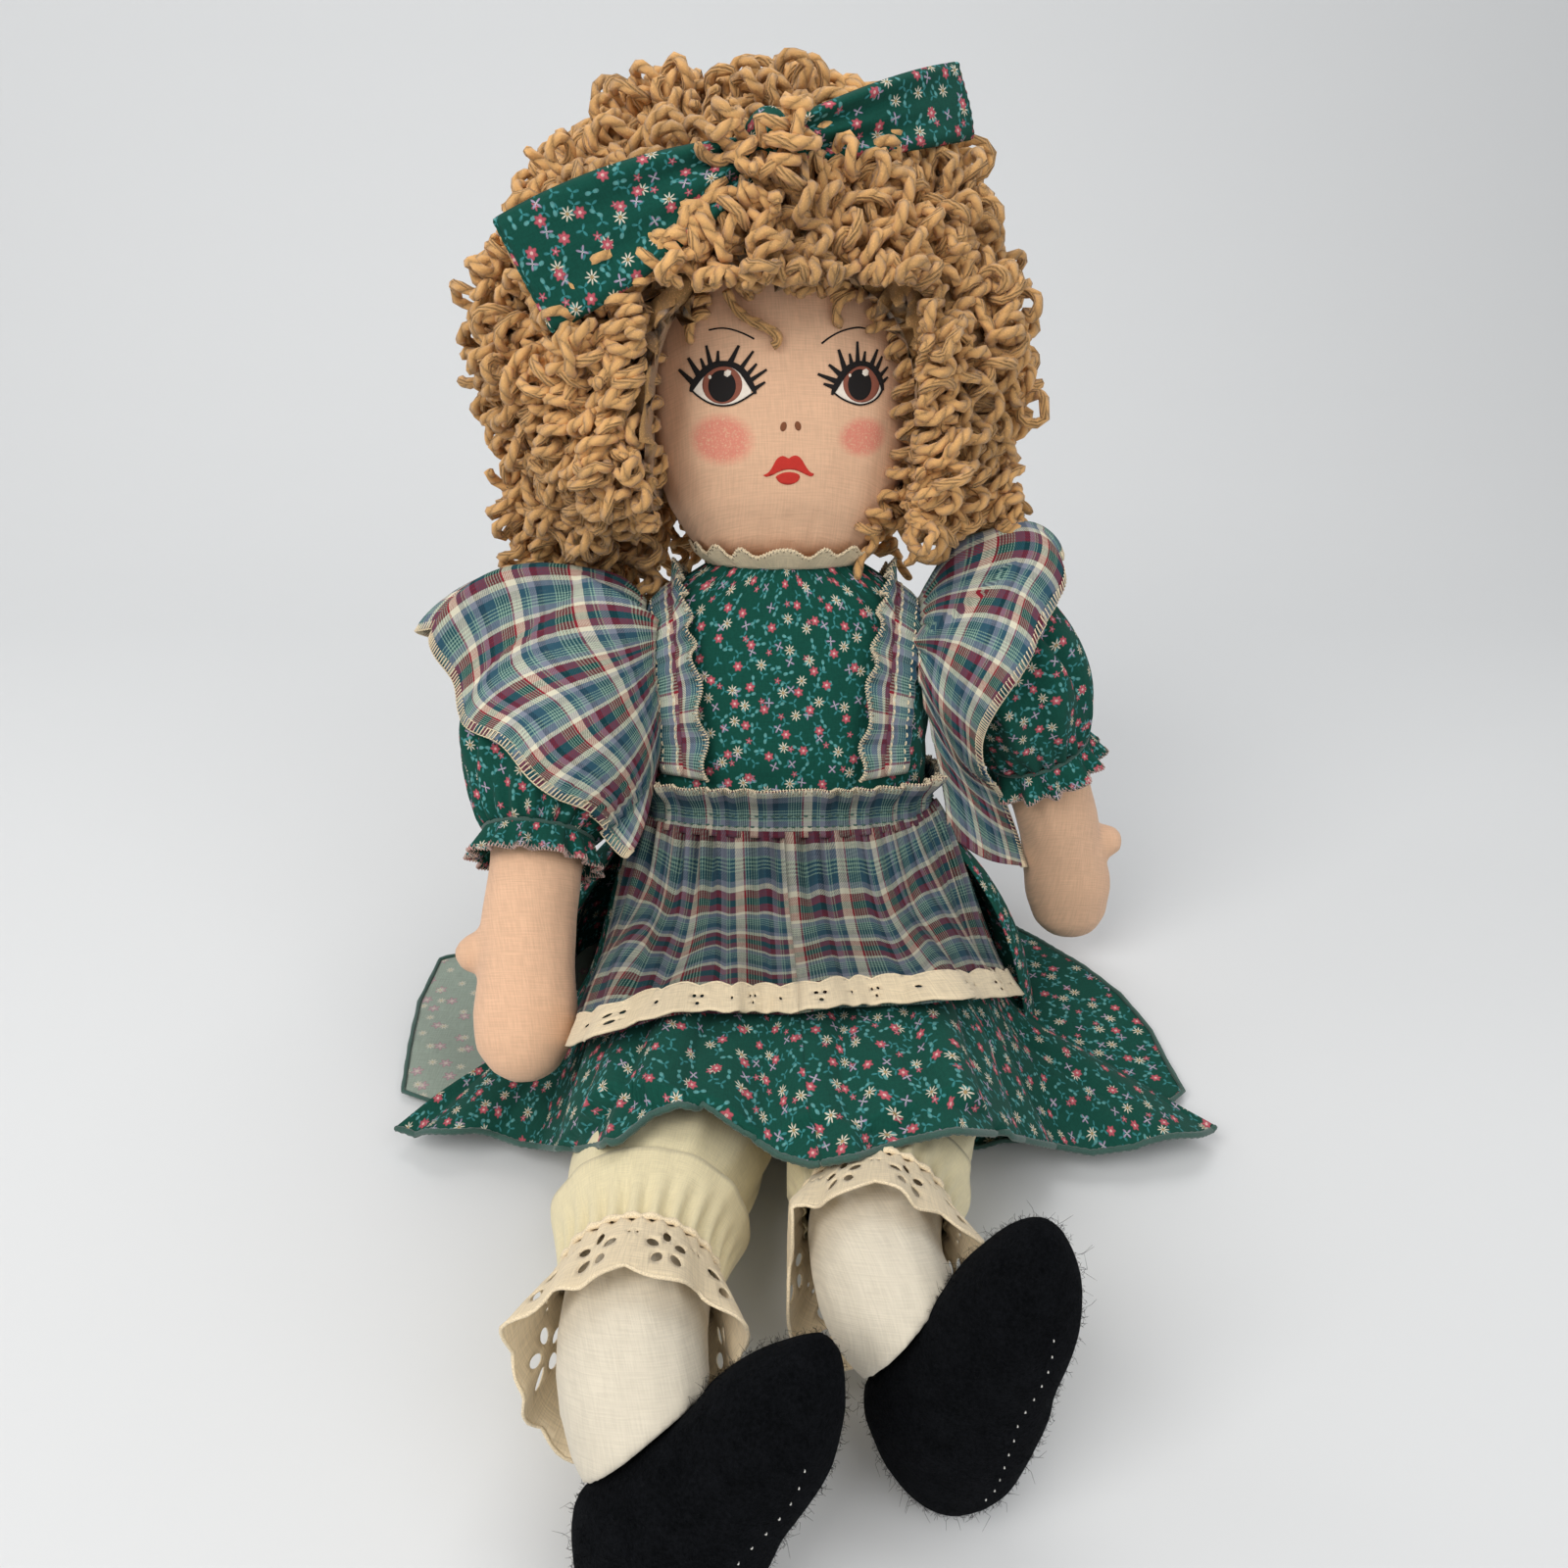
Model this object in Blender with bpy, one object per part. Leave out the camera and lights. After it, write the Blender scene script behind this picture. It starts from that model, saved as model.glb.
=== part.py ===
"""A seated rag doll: stuffed body, yarn wig, printed frock, checked pinafore, bloomers and felt shoes.

Metres, +Z up. The origin is on the flat cloth that the doll sits on, and the doll faces -Y.
Left and right are the doll's own, so its left side is at +X.
"""

import math

import bmesh
import bpy
from mathutils import Matrix, Vector

for old in list(bpy.data.objects):
    bpy.data.objects.remove(old, do_unlink=True)

# Clearances and cloth
GAP = 0.0003
SLIP = 0.0005
CLOTH = 0.0012
RIBBON = 0.0030
OVERRUN = 0.2000

# Torso
TORSO_LENGTH = 0.1870
TORSO_HALF_WIDTH = 0.0580
TORSO_HALF_DEPTH = 0.0430
TORSO_SEAT_Y = 0.0140
TORSO_LEAN_DEG = 12.0
TORSO_POWER = 2.4
# Height, half width and half depth along the spine, as shares of the torso's own
TORSO_SHARES = (
    (0.00, 0.80, 0.78), (0.03, 0.90, 0.90), (0.10, 0.98, 0.98), (0.24, 1.00, 1.00),
    (0.36, 0.95, 0.95), (0.46, 0.90, 0.89), (0.58, 0.93, 0.86), (0.68, 0.95, 0.81),
    (0.77, 0.95, 0.74), (0.84, 0.90, 0.65), (0.89, 0.80, 0.56), (0.93, 0.62, 0.49),
    (0.96, 0.46, 0.45), (1.00, 0.39, 0.43),
)
WAIST_SHARE = 0.46
ARMHOLE_SHARE = 0.80

# Head
HEAD_HALF_WIDTH = 0.0520
HEAD_HALF_DEPTH = 0.0410
HEAD_HALF_HEIGHT = 0.0660
HEAD_POWER = 2.5
NECK_SINK = 0.0060

# Wig
WIG_HALF_WIDTH = 0.0970
WIG_HALF_DEPTH = 0.0740
WIG_HALF_HEIGHT = 0.0880
WIG_OFFSET_X = -0.0110
WIG_OFFSET_Y = 0.0100
WIG_OFFSET_Z = 0.0060
WIG_LUMP = 0.0025
WIG_FLOOR_Z = 0.2000
HAIRLINE_Z = 0.2830
FACE_HALF_WIDTH = 0.0465
CURL_LUMP = 0.0020

# Bow
BOW_LENGTH = 0.0800
BOW_END_WIDTH = 0.0330
BOW_PINCH_WIDTH = 0.0140
BOW_KNOT_RADIUS = 0.0085
BOW_SINK_SHARE = 0.45

# Arms
ARM_HANDLE = 0.0560
ARM_RADIUS = 0.0180
PALM_HALF_WIDTH = 0.0180
PALM_HALF_DEPTH = 0.0145
THUMB_RADIUS = 0.0075
THUMB_LENGTH = 0.0170
SHOULDER_SINK = 0.0110
SHOULDER_RISE = {"left": 0.0160, "right": 0.0080}
HAND_TIP = {"left": (0.1280, 0.0460, 0.0120), "right": (-0.0880, -0.0820, 0.0340)}

# Sleeves
SLEEVE_SHARES = {"left": 0.42, "right": 0.50}
SLEEVE_PUFF = 0.0120
SLEEVE_CUFF_WALL = 0.0016
CUFF_FRILL = 0.0080
CUFF_FRILL_WAVE = 0.0022

# Legs
LEG_HANDLE = 0.0700
ANKLE_HANDLE = 0.0240
ANKLE = {"left": (0.0320, -0.1910, 0.0457), "right": (-0.0310, -0.2190, 0.0440)}
THIGH_RADIUS = 0.0210
ANKLE_RADIUS = 0.0180
HIP_HALF_SPACING = 0.0340
HIP_HEIGHT = 0.0270

# Shoes
SHOE_LENGTH = 0.0850
SHOE_HEIGHT = 0.0460
SHOE_HALF_WIDTH = 0.0170
# Length, lower edge and upper edge of the side outline, and half width, as shares of the shoe's own
SHOE_SHARES = (
    (0.00, 0.30, 0.46, 0.24), (0.05, 0.18, 0.64, 0.50), (0.12, 0.09, 0.80, 0.74), (0.21, 0.03, 0.93, 0.90),
    (0.32, 0.00, 1.00, 1.00), (0.46, 0.00, 0.93, 1.00), (0.60, 0.03, 0.80, 0.95), (0.75, 0.09, 0.67, 0.86),
    (0.87, 0.17, 0.56, 0.68), (0.95, 0.25, 0.48, 0.46), (1.00, 0.33, 0.42, 0.20),
)
SHOE_MOUTH_SHARES = ((0.30, 0.945), (0.71, 0.665))

# Bloomers and their lace
BLOOMER_PUFF = 0.0082
BLOOMER_SHARES = {"left": 0.57, "right": 0.62}
LACE_LENGTH = 0.0180
LACE_FLARE = 0.0070
LACE_WAVE = 0.0020

# Skirt
SKIRT_HALF_SPREAD = 0.1450
SKIRT_SHIFT_X = 0.0080
HEM_FRONT_Y = -0.1400
HEM_SIDE_Y = -0.0770
LAP_HEIGHT = 0.0660
LAP_HALF_WIDTH = 0.0480
LAP_FOOT_X = {"left": 0.0960, "right": 0.0840}
SIDE_HEIGHT = 0.0080
SKIRT_FOLD = 0.0050
SKIRT_FOLD_COUNT = 7
BACK_SPREAD_X = 0.1000
BACK_SPREAD_Y = 0.1000
# Corners of the skirt's cloth that lies on the floor, along X and Y, as shares of the skirt's half spread
UNDER_SHARES = (
    (1.034, -0.345), (1.020, 0.0), (0.862, 0.310), (0.620, 0.586), (0.345, 0.724), (-0.414, 0.724),
    (-0.759, 0.517), (-0.931, 0.310), (-1.090, 0.255), (-0.952, -0.545), (0.828, -0.545),
)

# Pinafore
APRON_REACH_SHARE = 0.66
APRON_SPREAD_SHARE = 0.74
APRON_TRIM_WIDTH = 0.0105
TRIM_WAVE = 0.0006
WAISTBAND_WIDTH = 0.0160
WAIST_WAVE = 0.0012
WAIST_WAVES = 12
STRAP_X = 0.0450
STRAP_WIDTH = 0.0090
WING_REACH_SHARES = {"left": 0.26, "right": 0.36}
WING_FLARE = 0.0030
WING_TAIL = 0.0100
WING_CLEARANCE = 0.0030
WING_WAVE = 0.0022
INNER_FRILL_WIDTH = 0.0090
INNER_FRILL_WAVE = 0.0020
NECK_FRILL_WIDTH = 0.0070
NECK_FRILL_WAVE = 0.0016
NECK_FRILL_SHARE = 0.935

# The cloth under the seat, then the bloomers' seat, then the torso
SEAT_Z = CLOTH + GAP + CLOTH + GAP
LAYER_GAP = SLIP + CLOTH + SLIP * 2

UP = Vector((0, 0, 1))
SIDES = {"left": 1, "right": -1}


# Materials
def material(name, colour, roughness):
    made = bpy.data.materials.new(name)
    made.use_nodes = True
    shader = made.node_tree.nodes["Principled BSDF"]
    shader.inputs["Base Color"].default_value = (*colour, 1)
    shader.inputs["Roughness"].default_value = roughness
    shader.inputs["Metallic"].default_value = 0
    return made


FINISHES = {
    "skin": material("skin_cotton", (0.83, 0.60, 0.46), 0.85),
    "stocking": material("stocking_cotton", (0.86, 0.83, 0.76), 0.85),
    "yarn": material("wool_yarn", (0.62, 0.36, 0.15), 0.95),
    "floral": material("floral_cotton", (0.02, 0.13, 0.09), 0.85),
    "plaid": material("madras_plaid", (0.20, 0.24, 0.32), 0.85),
    "ivory": material("ivory_cotton", (0.82, 0.76, 0.63), 0.85),
    "cream": material("cream_cotton", (0.84, 0.78, 0.55), 0.85),
    "felt": material("black_felt", (0.01, 0.01, 0.012), 1.0),
}


# Shared modelling steps
def finish(name, mesh, slot):
    """A smooth-shaded object with its faces turned outwards."""
    bmesh.ops.recalc_face_normals(mesh, faces=mesh.faces)
    data = bpy.data.meshes.new(name)
    mesh.to_mesh(data)
    mesh.free()
    data.materials.append(FINISHES[slot])
    data.shade_smooth()
    obj = bpy.data.objects.new(name, data)
    bpy.context.scene.collection.objects.link(obj)
    return obj


def loft(name, rings, slot):
    """A closed body through rings of points, with a flat end on the first and the last."""
    mesh = bmesh.new()
    loops = [[mesh.verts.new(point) for point in ring] for ring in rings]
    for first, second in zip(loops, loops[1:]):
        for i in range(len(first)):
            j = (i + 1) % len(first)
            mesh.faces.new((first[i], first[j], second[j], second[i]))
    mesh.faces.new(list(reversed(loops[0])))
    mesh.faces.new(loops[-1])
    return finish(name, mesh, slot)


def sleeve_of(name, outer, inner, slot):
    """A tube with a wall: outer rings from end to end, and inner rings along the same way."""
    rings = list(outer) + list(reversed(inner))
    mesh = bmesh.new()
    loops = [[mesh.verts.new(point) for point in ring] for ring in rings]
    for first, second in zip(loops, loops[1:] + loops[:1]):
        for i in range(len(first)):
            j = (i + 1) % len(first)
            mesh.faces.new((first[i], first[j], second[j], second[i]))
    return finish(name, mesh, slot)


def cloth(name, point, columns, rows, slot, thickness=CLOTH, closed=False, offset=0.0):
    """A sheet through point(u, v), with u and v from 0 to 1, given its thickness."""
    mesh = bmesh.new()
    across = columns if closed else columns + 1
    grid = [
        [mesh.verts.new(point(i / columns, j / rows)) for i in range(across)] for j in range(rows + 1)
    ]
    for j in range(rows):
        for i in range(columns):
            k = (i + 1) % across
            mesh.faces.new((grid[j][i], grid[j][k], grid[j + 1][k], grid[j + 1][i]))
    obj = finish(name, mesh, slot)
    solid = obj.modifiers.new("thickness", "SOLIDIFY")
    solid.thickness = thickness
    solid.offset = offset
    solid.use_even_offset = True
    return obj


def block(name, low, high):
    """A box for cutting, which isn't part of the doll."""
    mesh = bmesh.new()
    bmesh.ops.create_cube(mesh, size=1)
    size = Vector(high) - Vector(low)
    middle = (Vector(high) + Vector(low)) / 2
    place = Matrix.Translation(middle) @ Matrix.Diagonal((*size, 1))
    bmesh.ops.transform(mesh, matrix=place, verts=mesh.verts)
    return hide(finish(name, mesh, "skin"))


def hide(obj):
    obj.hide_render = True
    obj.display_type = "WIRE"
    return obj


def combine(obj, other, operation):
    step = obj.modifiers.new(operation.lower(), "BOOLEAN")
    step.operation = operation
    step.solver = "EXACT"
    step.object = other


def superellipse(count, power):
    """Points of a unit ring between a circle and a rounded square."""
    ring = []
    for i in range(count):
        angle = math.tau * i / count
        c = math.cos(angle)
        s = math.sin(angle)
        ring.append((math.copysign(abs(c) ** (2 / power), c), math.copysign(abs(s) ** (2 / power), s)))
    return ring


def ring_at(centre, side, other, half_side, half_other, count, power=2.0):
    return [
        centre + side * (half_side * a) + other * (half_other * b) for a, b in superellipse(count, power)
    ]


def between(table, share, column):
    """The value of one column of a table of shares, read smoothly at a share of its first column."""
    share = min(max(share, table[0][0]), table[-1][0])
    for low, high in zip(table, table[1:]):
        if share <= high[0]:
            t = (share - low[0]) / (high[0] - low[0])
            return low[column] + (high[column] - low[column]) * t
    return table[-1][column]


def smooth(t):
    t = min(max(t, 0), 1)
    return t * t * (3 - 2 * t)


# Torso
SPINE_STEPS = 200


def spine(share):
    """Centre of the torso at a share of its length, with the directions up and forward there."""
    lean = 0.0
    y = TORSO_SEAT_Y
    z = SEAT_Z
    step = TORSO_LENGTH / SPINE_STEPS
    for i in range(round(share * SPINE_STEPS)):
        lean = math.radians(TORSO_LEAN_DEG) * smooth(i / SPINE_STEPS * 3)
        y += step * math.sin(lean)
        z += step * math.cos(lean)
    lean = math.radians(TORSO_LEAN_DEG) * smooth(share * 3)
    up = Vector((0, math.sin(lean), math.cos(lean)))
    return Vector((0, y, z)), up, Vector((0, -up.z, up.y))


def torso_size(share):
    return (
        TORSO_HALF_WIDTH * between(TORSO_SHARES, share, 1),
        TORSO_HALF_DEPTH * between(TORSO_SHARES, share, 2),
    )


def torso_ring(share, offset, count):
    centre, _, forward = spine(share)
    wide, deep = torso_size(share)
    return ring_at(centre, Vector((1, 0, 0)), forward, wide + offset, deep + offset, count, TORSO_POWER)


def torso_point(angle, share, offset):
    """A point on the torso, a distance outside it; the angle is 0 at the doll's left and 90 in front."""
    centre, _, forward = spine(share)
    wide, deep = torso_size(share)
    c = math.cos(math.radians(angle))
    s = math.sin(math.radians(angle))
    x = math.copysign(abs(c) ** (2 / TORSO_POWER), c) * (wide + offset)
    y = math.copysign(abs(s) ** (2 / TORSO_POWER), s) * (deep + offset)
    return centre + Vector((x, 0, 0)) + forward * y


def make_torso():
    rings = [torso_ring(row[0], 0, 20) for row in TORSO_SHARES]
    loft("torso", rings, "skin")


# Head
def neck_top():
    return spine(1)[0]


HEAD_UP = Vector((0, math.sin(math.radians(TORSO_LEAN_DEG)), math.cos(math.radians(TORSO_LEAN_DEG))))


def head_centre():
    return neck_top() + HEAD_UP * (HEAD_HALF_HEIGHT - NECK_SINK)


def pillow(name, centre, half_sizes, power, slot, segments, rings, lean=0.0, lump=0.0):
    """A ball of rounded-square outline, leaned back, with an uneven skin where it has a lump size."""
    mesh = bmesh.new()
    bmesh.ops.create_uvsphere(mesh, u_segments=segments, v_segments=rings, radius=1)
    turn = Matrix.Rotation(math.radians(-lean), 3, "X")
    for vert in mesh.verts:
        p = vert.co
        norm = sum(abs(c) ** power for c in p) ** (1 / power)
        q = Vector([c / norm * half for c, half in zip(p, half_sizes)])
        if lump:
            wave = math.sin(11 * p.x + 4 * p.z) * math.sin(9 * p.z + 5 * p.y) * math.cos(10 * p.y)
            q += q.normalized() * lump * wave
        vert.co = centre + turn @ q
    return finish(name, mesh, slot)


def tilted_block(name, centre, up, half, height):
    """A box for cutting whose lower face lies on a slanted plane through the centre."""
    turn = UP.rotation_difference(up).to_matrix().to_4x4()
    mesh = bmesh.new()
    bmesh.ops.create_cube(mesh, size=1)
    sized = Matrix.Translation((0, 0, height / 2)) @ Matrix.Diagonal((2 * half, 2 * half, height, 1))
    bmesh.ops.transform(mesh, matrix=Matrix.Translation(centre) @ turn @ sized, verts=mesh.verts)
    return hide(finish(name, mesh, "skin"))


def make_head():
    half_sizes = (HEAD_HALF_WIDTH, HEAD_HALF_DEPTH, HEAD_HALF_HEIGHT)
    head = pillow("head", head_centre(), half_sizes, HEAD_POWER, "skin", 20, 14, TORSO_LEAN_DEG)
    seam = neck_top() + HEAD_UP * GAP
    combine(head, tilted_block("cut_neck_seam", seam, -HEAD_UP, OVERRUN, OVERRUN), "DIFFERENCE")


# Wig
def wig_centre():
    return head_centre() + Vector((WIG_OFFSET_X, WIG_OFFSET_Y, WIG_OFFSET_Z))


def face_cutter():
    """A rounded column through the face, from below the chin up to the hairline."""
    middle = head_centre()
    half_height = FACE_HALF_WIDTH * 1.5
    ring = [
        Vector((middle.x + FACE_HALF_WIDTH * a, 0, HAIRLINE_Z + half_height * (b - 1)))
        for a, b in superellipse(28, 3.2)
    ]
    ends = [[Vector((p.x, y, p.z)) for p in ring] for y in (middle.y - OVERRUN, middle.y)]
    return hide(loft("cut_face", ends, "skin"))


def make_wig():
    half_sizes = (WIG_HALF_WIDTH, WIG_HALF_DEPTH, WIG_HALF_HEIGHT)
    crown = pillow("wig_crown", wig_centre(), half_sizes, 2.2, "yarn", 22, 14, TORSO_LEAN_DEG, WIG_LUMP)
    grown = [half + GAP for half in (HEAD_HALF_WIDTH, HEAD_HALF_DEPTH, HEAD_HALF_HEIGHT)]
    scalp = hide(pillow("cut_scalp", head_centre(), grown, HEAD_POWER, "skin", 20, 14, TORSO_LEAN_DEG))
    combine(crown, scalp, "DIFFERENCE")
    combine(crown, face_cutter(), "DIFFERENCE")
    below = Vector((WIG_HALF_WIDTH * 2, WIG_HALF_WIDTH * 2, 0))
    middle = wig_centre()
    middle.z = WIG_FLOOR_Z
    combine(crown, block("cut_wig_floor", middle - below - UP * OVERRUN, middle + below), "DIFFERENCE")
    combine(crown, hide(make_knot("cut_knot", GAP)), "DIFFERENCE")
    for side in SIDES:
        combine(crown, hide(make_bow_side("cut_bow_" + side, side, GAP)), "DIFFERENCE")


# Hanging curls: centre and half sizes, as shares of the wig's own half sizes
CURL_SHARES = {
    "left": ((0.80, -0.05, -0.59), (0.23, 0.44, 0.12)),
    "right": ((-0.66, -0.05, -0.62), (0.33, 0.44, 0.14)),
    "back": ((0.0, 0.74, -0.72), (0.60, 0.22, 0.16)),
}


def make_curls(name):
    size = Vector((WIG_HALF_WIDTH, WIG_HALF_DEPTH, WIG_HALF_HEIGHT))
    place, half = CURL_SHARES[name]
    centre = wig_centre() + Vector([share * length for share, length in zip(place, size)])
    halves = [share * length for share, length in zip(half, size)]
    curls = pillow("wig_curls_" + name, centre, halves, 2.2, "yarn", 14, 9, 0, CURL_LUMP)
    above = Vector((WIG_HALF_WIDTH * 2, WIG_HALF_WIDTH * 2, OVERRUN))
    low = Vector((0, 0, WIG_FLOOR_Z - GAP))
    cut = block("cut_curls_" + name, low - Vector((above.x, above.y, 0)), low + above)
    combine(curls, cut, "DIFFERENCE")


# Bow
def bow_centre():
    """On the front of the crown, at the height where the hair is pinned."""
    share_x = 0.06
    share_z = 0.77
    middle = wig_centre()
    rest = max(1 - abs(share_x) ** 2.2 - share_z**2.2, 0) ** (1 / 2.2)
    return middle + Vector((share_x * WIG_HALF_WIDTH, -rest * WIG_HALF_DEPTH, share_z * WIG_HALF_HEIGHT))


# Rise and backward turn of each end of the bow, in degrees
BOW_ANGLES = {"left": (15, 34), "right": (-25, -10)}


def bow_along(side):
    rise, back = (math.radians(angle) for angle in BOW_ANGLES[side])
    flat = math.cos(rise)
    return Vector((SIDES[side] * flat * math.cos(back), flat * math.sin(back), math.sin(rise)))


def make_knot(name, grow):
    half = BOW_KNOT_RADIUS + grow
    return pillow(name, bow_centre(), (half, half, half * 1.25), 2.2, "floral", 14, 10)


def make_bow_side(name, side, grow=0.0):
    """One flat folded end: narrow and gathered at the knot, wide and square at the tip."""
    along = bow_along(side)
    out = Vector((0, -1, 0))
    out = (out - along * out.dot(along)).normalized()
    across = along.cross(out)
    start = bow_centre() + along * (BOW_KNOT_RADIUS + GAP * 2) + out * (BOW_KNOT_RADIUS * BOW_SINK_SHARE)

    def point(u, v):
        spread = math.sin(u * math.pi / 2) ** 0.8
        width = grow * 2 + BOW_PINCH_WIDTH + (BOW_END_WIDTH - BOW_PINCH_WIDTH) * spread
        ripple = (1 - u) ** 2 * math.cos(v * math.tau * 1.5) * BOW_PINCH_WIDTH * 0.12
        fall = BOW_LENGTH * 0.10 * math.sin(u * math.pi)
        length = BOW_LENGTH * u + grow * (2 * u - 1)
        return start + along * length + across * (width * (v - 0.5)) + out * (ripple + fall)

    return cloth(name, point, 8, 4, "floral", RIBBON + grow * 2)


def make_bow():
    make_knot("bow_knot", 0)
    for side in SIDES:
        make_bow_side("bow_" + side, side)


# Arms: swing forward and spread outward from hanging, in degrees, at the shoulder and at the hand
ARM_ANGLES = {"left": ((2, 38), (0, 8)), "right": ((34, 28), (50, -6))}
# Radius along the arm, as shares of its length and of its radius
ARM_SHARES = (
    (0.00, 0.70), (0.04, 0.98), (0.12, 1.08), (0.30, 1.02), (0.50, 0.96), (0.66, 0.94), (0.76, 0.97),
    (0.86, 1.02), (0.93, 0.90), (0.975, 0.62), (1.00, 0.25),
)


def shoulder_plane_x():
    widest = max(torso_size(row[0])[0] for row in TORSO_SHARES if row[0] > WAIST_SHARE)
    return widest + SLIP + CLOTH + GAP * 2


def shoulder(side):
    centre = spine(ARMHOLE_SHARE)[0]
    return centre + Vector((SIDES[side] * (shoulder_plane_x() + SHOULDER_SINK), 0, SHOULDER_RISE[side]))


def limb_heading(side, swing, spread):
    swing = math.radians(swing)
    spread = math.radians(spread)
    down = -math.cos(swing) * math.cos(spread)
    return Vector((SIDES[side] * math.sin(spread), -math.sin(swing) * math.cos(spread), down))


def bent_path(points, share):
    """Place and heading at a share of a curve between the first and last of four points."""
    a, b, c, d = points
    t = share
    place = a * (1 - t) ** 3 + b * (3 * t * (1 - t) ** 2) + c * (3 * t * t * (1 - t)) + d * t**3
    heading = (b - a) * (1 - t) ** 2 + (c - b) * (2 * t * (1 - t)) + (d - c) * t * t
    return place, heading.normalized()


def arm_at(side, share):
    """Centre and heading of the arm at a share of its length."""
    first, last = (limb_heading(side, *angles) for angles in ARM_ANGLES[side])
    top = shoulder(side)
    tip = Vector(HAND_TIP[side])
    return bent_path((top, top + first * ARM_HANDLE, tip - last * ARM_HANDLE, tip), share)


def frame_of(heading):
    """Sideways and front directions square to a heading."""
    side = Vector((1, 0, 0)) - heading * heading.x
    side.normalize()
    return side, heading.cross(side).normalized()


def arm_ring(side, share, offset, count):
    place, heading = arm_at(side, share)
    across, front = frame_of(heading)
    scale = between(ARM_SHARES, share, 1)
    hand = smooth((share - 0.62) / 0.2)
    half_across = ARM_RADIUS + (PALM_HALF_WIDTH - ARM_RADIUS) * hand
    half_front = ARM_RADIUS + (PALM_HALF_DEPTH - ARM_RADIUS) * hand
    return ring_at(place, across, front, half_across * scale + offset, half_front * scale + offset, count)


def shoulder_cutter(side):
    x = SIDES[side] * shoulder_plane_x()
    far = x - SIDES[side] * OVERRUN
    name = "cut_shoulder_" + side
    if name in bpy.data.objects:
        return bpy.data.objects[name]
    return block(name, (min(x, far), -OVERRUN, 0), (max(x, far), OVERRUN, OVERRUN * 2))


def make_arm(side):
    arm = loft("arm_" + side, [arm_ring(side, row[0], 0, 14) for row in ARM_SHARES], "skin")
    wrist, heading = arm_at(side, 0.74)
    across, front = frame_of(heading)
    out = across * SIDES[side]
    start = wrist + out * (ARM_RADIUS * 0.55) - heading * (THUMB_RADIUS * 0.5)
    way = (out * 0.9 + heading * 0.35 - front * 0.15).normalized()
    wide, deep = frame_of(way)
    rings = [
        ring_at(start + way * (THUMB_LENGTH * t), wide, deep, THUMB_RADIUS * r, THUMB_RADIUS * r, 10)
        for t, r in ((0.0, 0.8), (0.45, 1.0), (0.75, 0.92), (0.92, 0.65), (1.0, 0.3))
    ]
    thumb = hide(loft("add_thumb_" + side, rings, "skin"))
    combine(arm, thumb, "UNION")
    combine(arm, shoulder_cutter(side), "DIFFERENCE")


# Sleeves
SLEEVE_STATIONS = 7


def sleeve_puff(t):
    """How far the sleeve stands off the arm, t from 0 at the shoulder to 1 at the cuff."""
    return SLEEVE_PUFF * ((math.sin(math.pi * t**1.5) ** 0.8 if 0 < t < 1 else 0) + 0.35 * (1 - t))


def make_sleeve(side):
    """A puff that is fullest above the cuff, drawn in round the arm by its elastic."""
    outer = []
    inner = []
    for i in range(SLEEVE_STATIONS + 1):
        t = i / SLEEVE_STATIONS
        share = SLEEVE_SHARES[side] * (0.04 + 0.96 * t)
        puff = sleeve_puff(t)
        lining = max(puff - CLOTH + SLEEVE_CUFF_WALL, 0) * (1 - t**6)
        outer.append(arm_ring(side, share, GAP + SLEEVE_CUFF_WALL + puff, 14))
        inner.append(arm_ring(side, share, GAP * 2 + lining, 14))
    sleeve = sleeve_of("sleeve_" + side, outer, inner, "floral")
    combine(sleeve, shoulder_cutter(side), "DIFFERENCE")


def outside_sleeve(side, spot, distance):
    """The spot, moved straight away from the arm where it is nearer than a distance from the sleeve."""
    steps = 24
    reach = top_to_tip(side) * SLEEVE_SHARES[side] / steps
    for _ in range(2):
        for i in range(-1, steps + 2):
            t = i / steps
            place, heading = arm_at(side, SLEEVE_SHARES[side] * t)
            away = spot - place
            along = away.dot(heading)
            across = away - heading * along
            radius = ARM_RADIUS * 1.08 + GAP + SLEEVE_CUFF_WALL + sleeve_puff(min(max(t, 0), 1)) + distance
            if abs(along) < reach and across.length < radius:
                spot = place + heading * along + across.normalized() * radius
    return spot


def top_to_tip(side):
    return (Vector(HAND_TIP[side]) - shoulder(side)).length


def make_cuff_frill(side):
    place, heading = arm_at(side, SLEEVE_SHARES[side])
    across, front = frame_of(heading)
    base = ARM_RADIUS * between(ARM_SHARES, SLEEVE_SHARES[side], 1) + GAP + CLOTH

    def point(u, v):
        angle = math.tau * u
        radius = base + CUFF_FRILL_WAVE * v * (2 + math.sin(10 * angle))
        along = GAP * 2 + CUFF_FRILL * v
        return place + heading * along + (across * math.cos(angle) + front * math.sin(angle)) * radius

    cloth("cuff_frill_" + side, point, 30, 1, "floral", closed=True)


# Feet: the directions of the toe and of the instep as unit shares along X, Y and Z
FOOT_SHARES = {
    "left": ((0.24, 0.11, 0.96), (-0.862, 0.473, 0.161)),
    "right": ((0.527, 0.276, 0.805), (-0.796, 0.495, 0.352)),
}


def foot_axes(side):
    toe, instep = (Vector(row) for row in FOOT_SHARES[side])
    toe.normalize()
    instep = (instep - toe * instep.dot(toe)).normalized()
    return toe, instep, toe.cross(instep)


def mouth():
    """Middle, length direction and outward normal of the shoe's top edge, in its side outline."""
    (u1, w1), (u2, w2) = SHOE_MOUTH_SHARES
    first = Vector((u1 * SHOE_LENGTH, w1 * SHOE_HEIGHT))
    second = Vector((u2 * SHOE_LENGTH, w2 * SHOE_HEIGHT))
    line = (second - first).normalized()
    return (first + second) / 2, Vector((-line.y, line.x))


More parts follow.
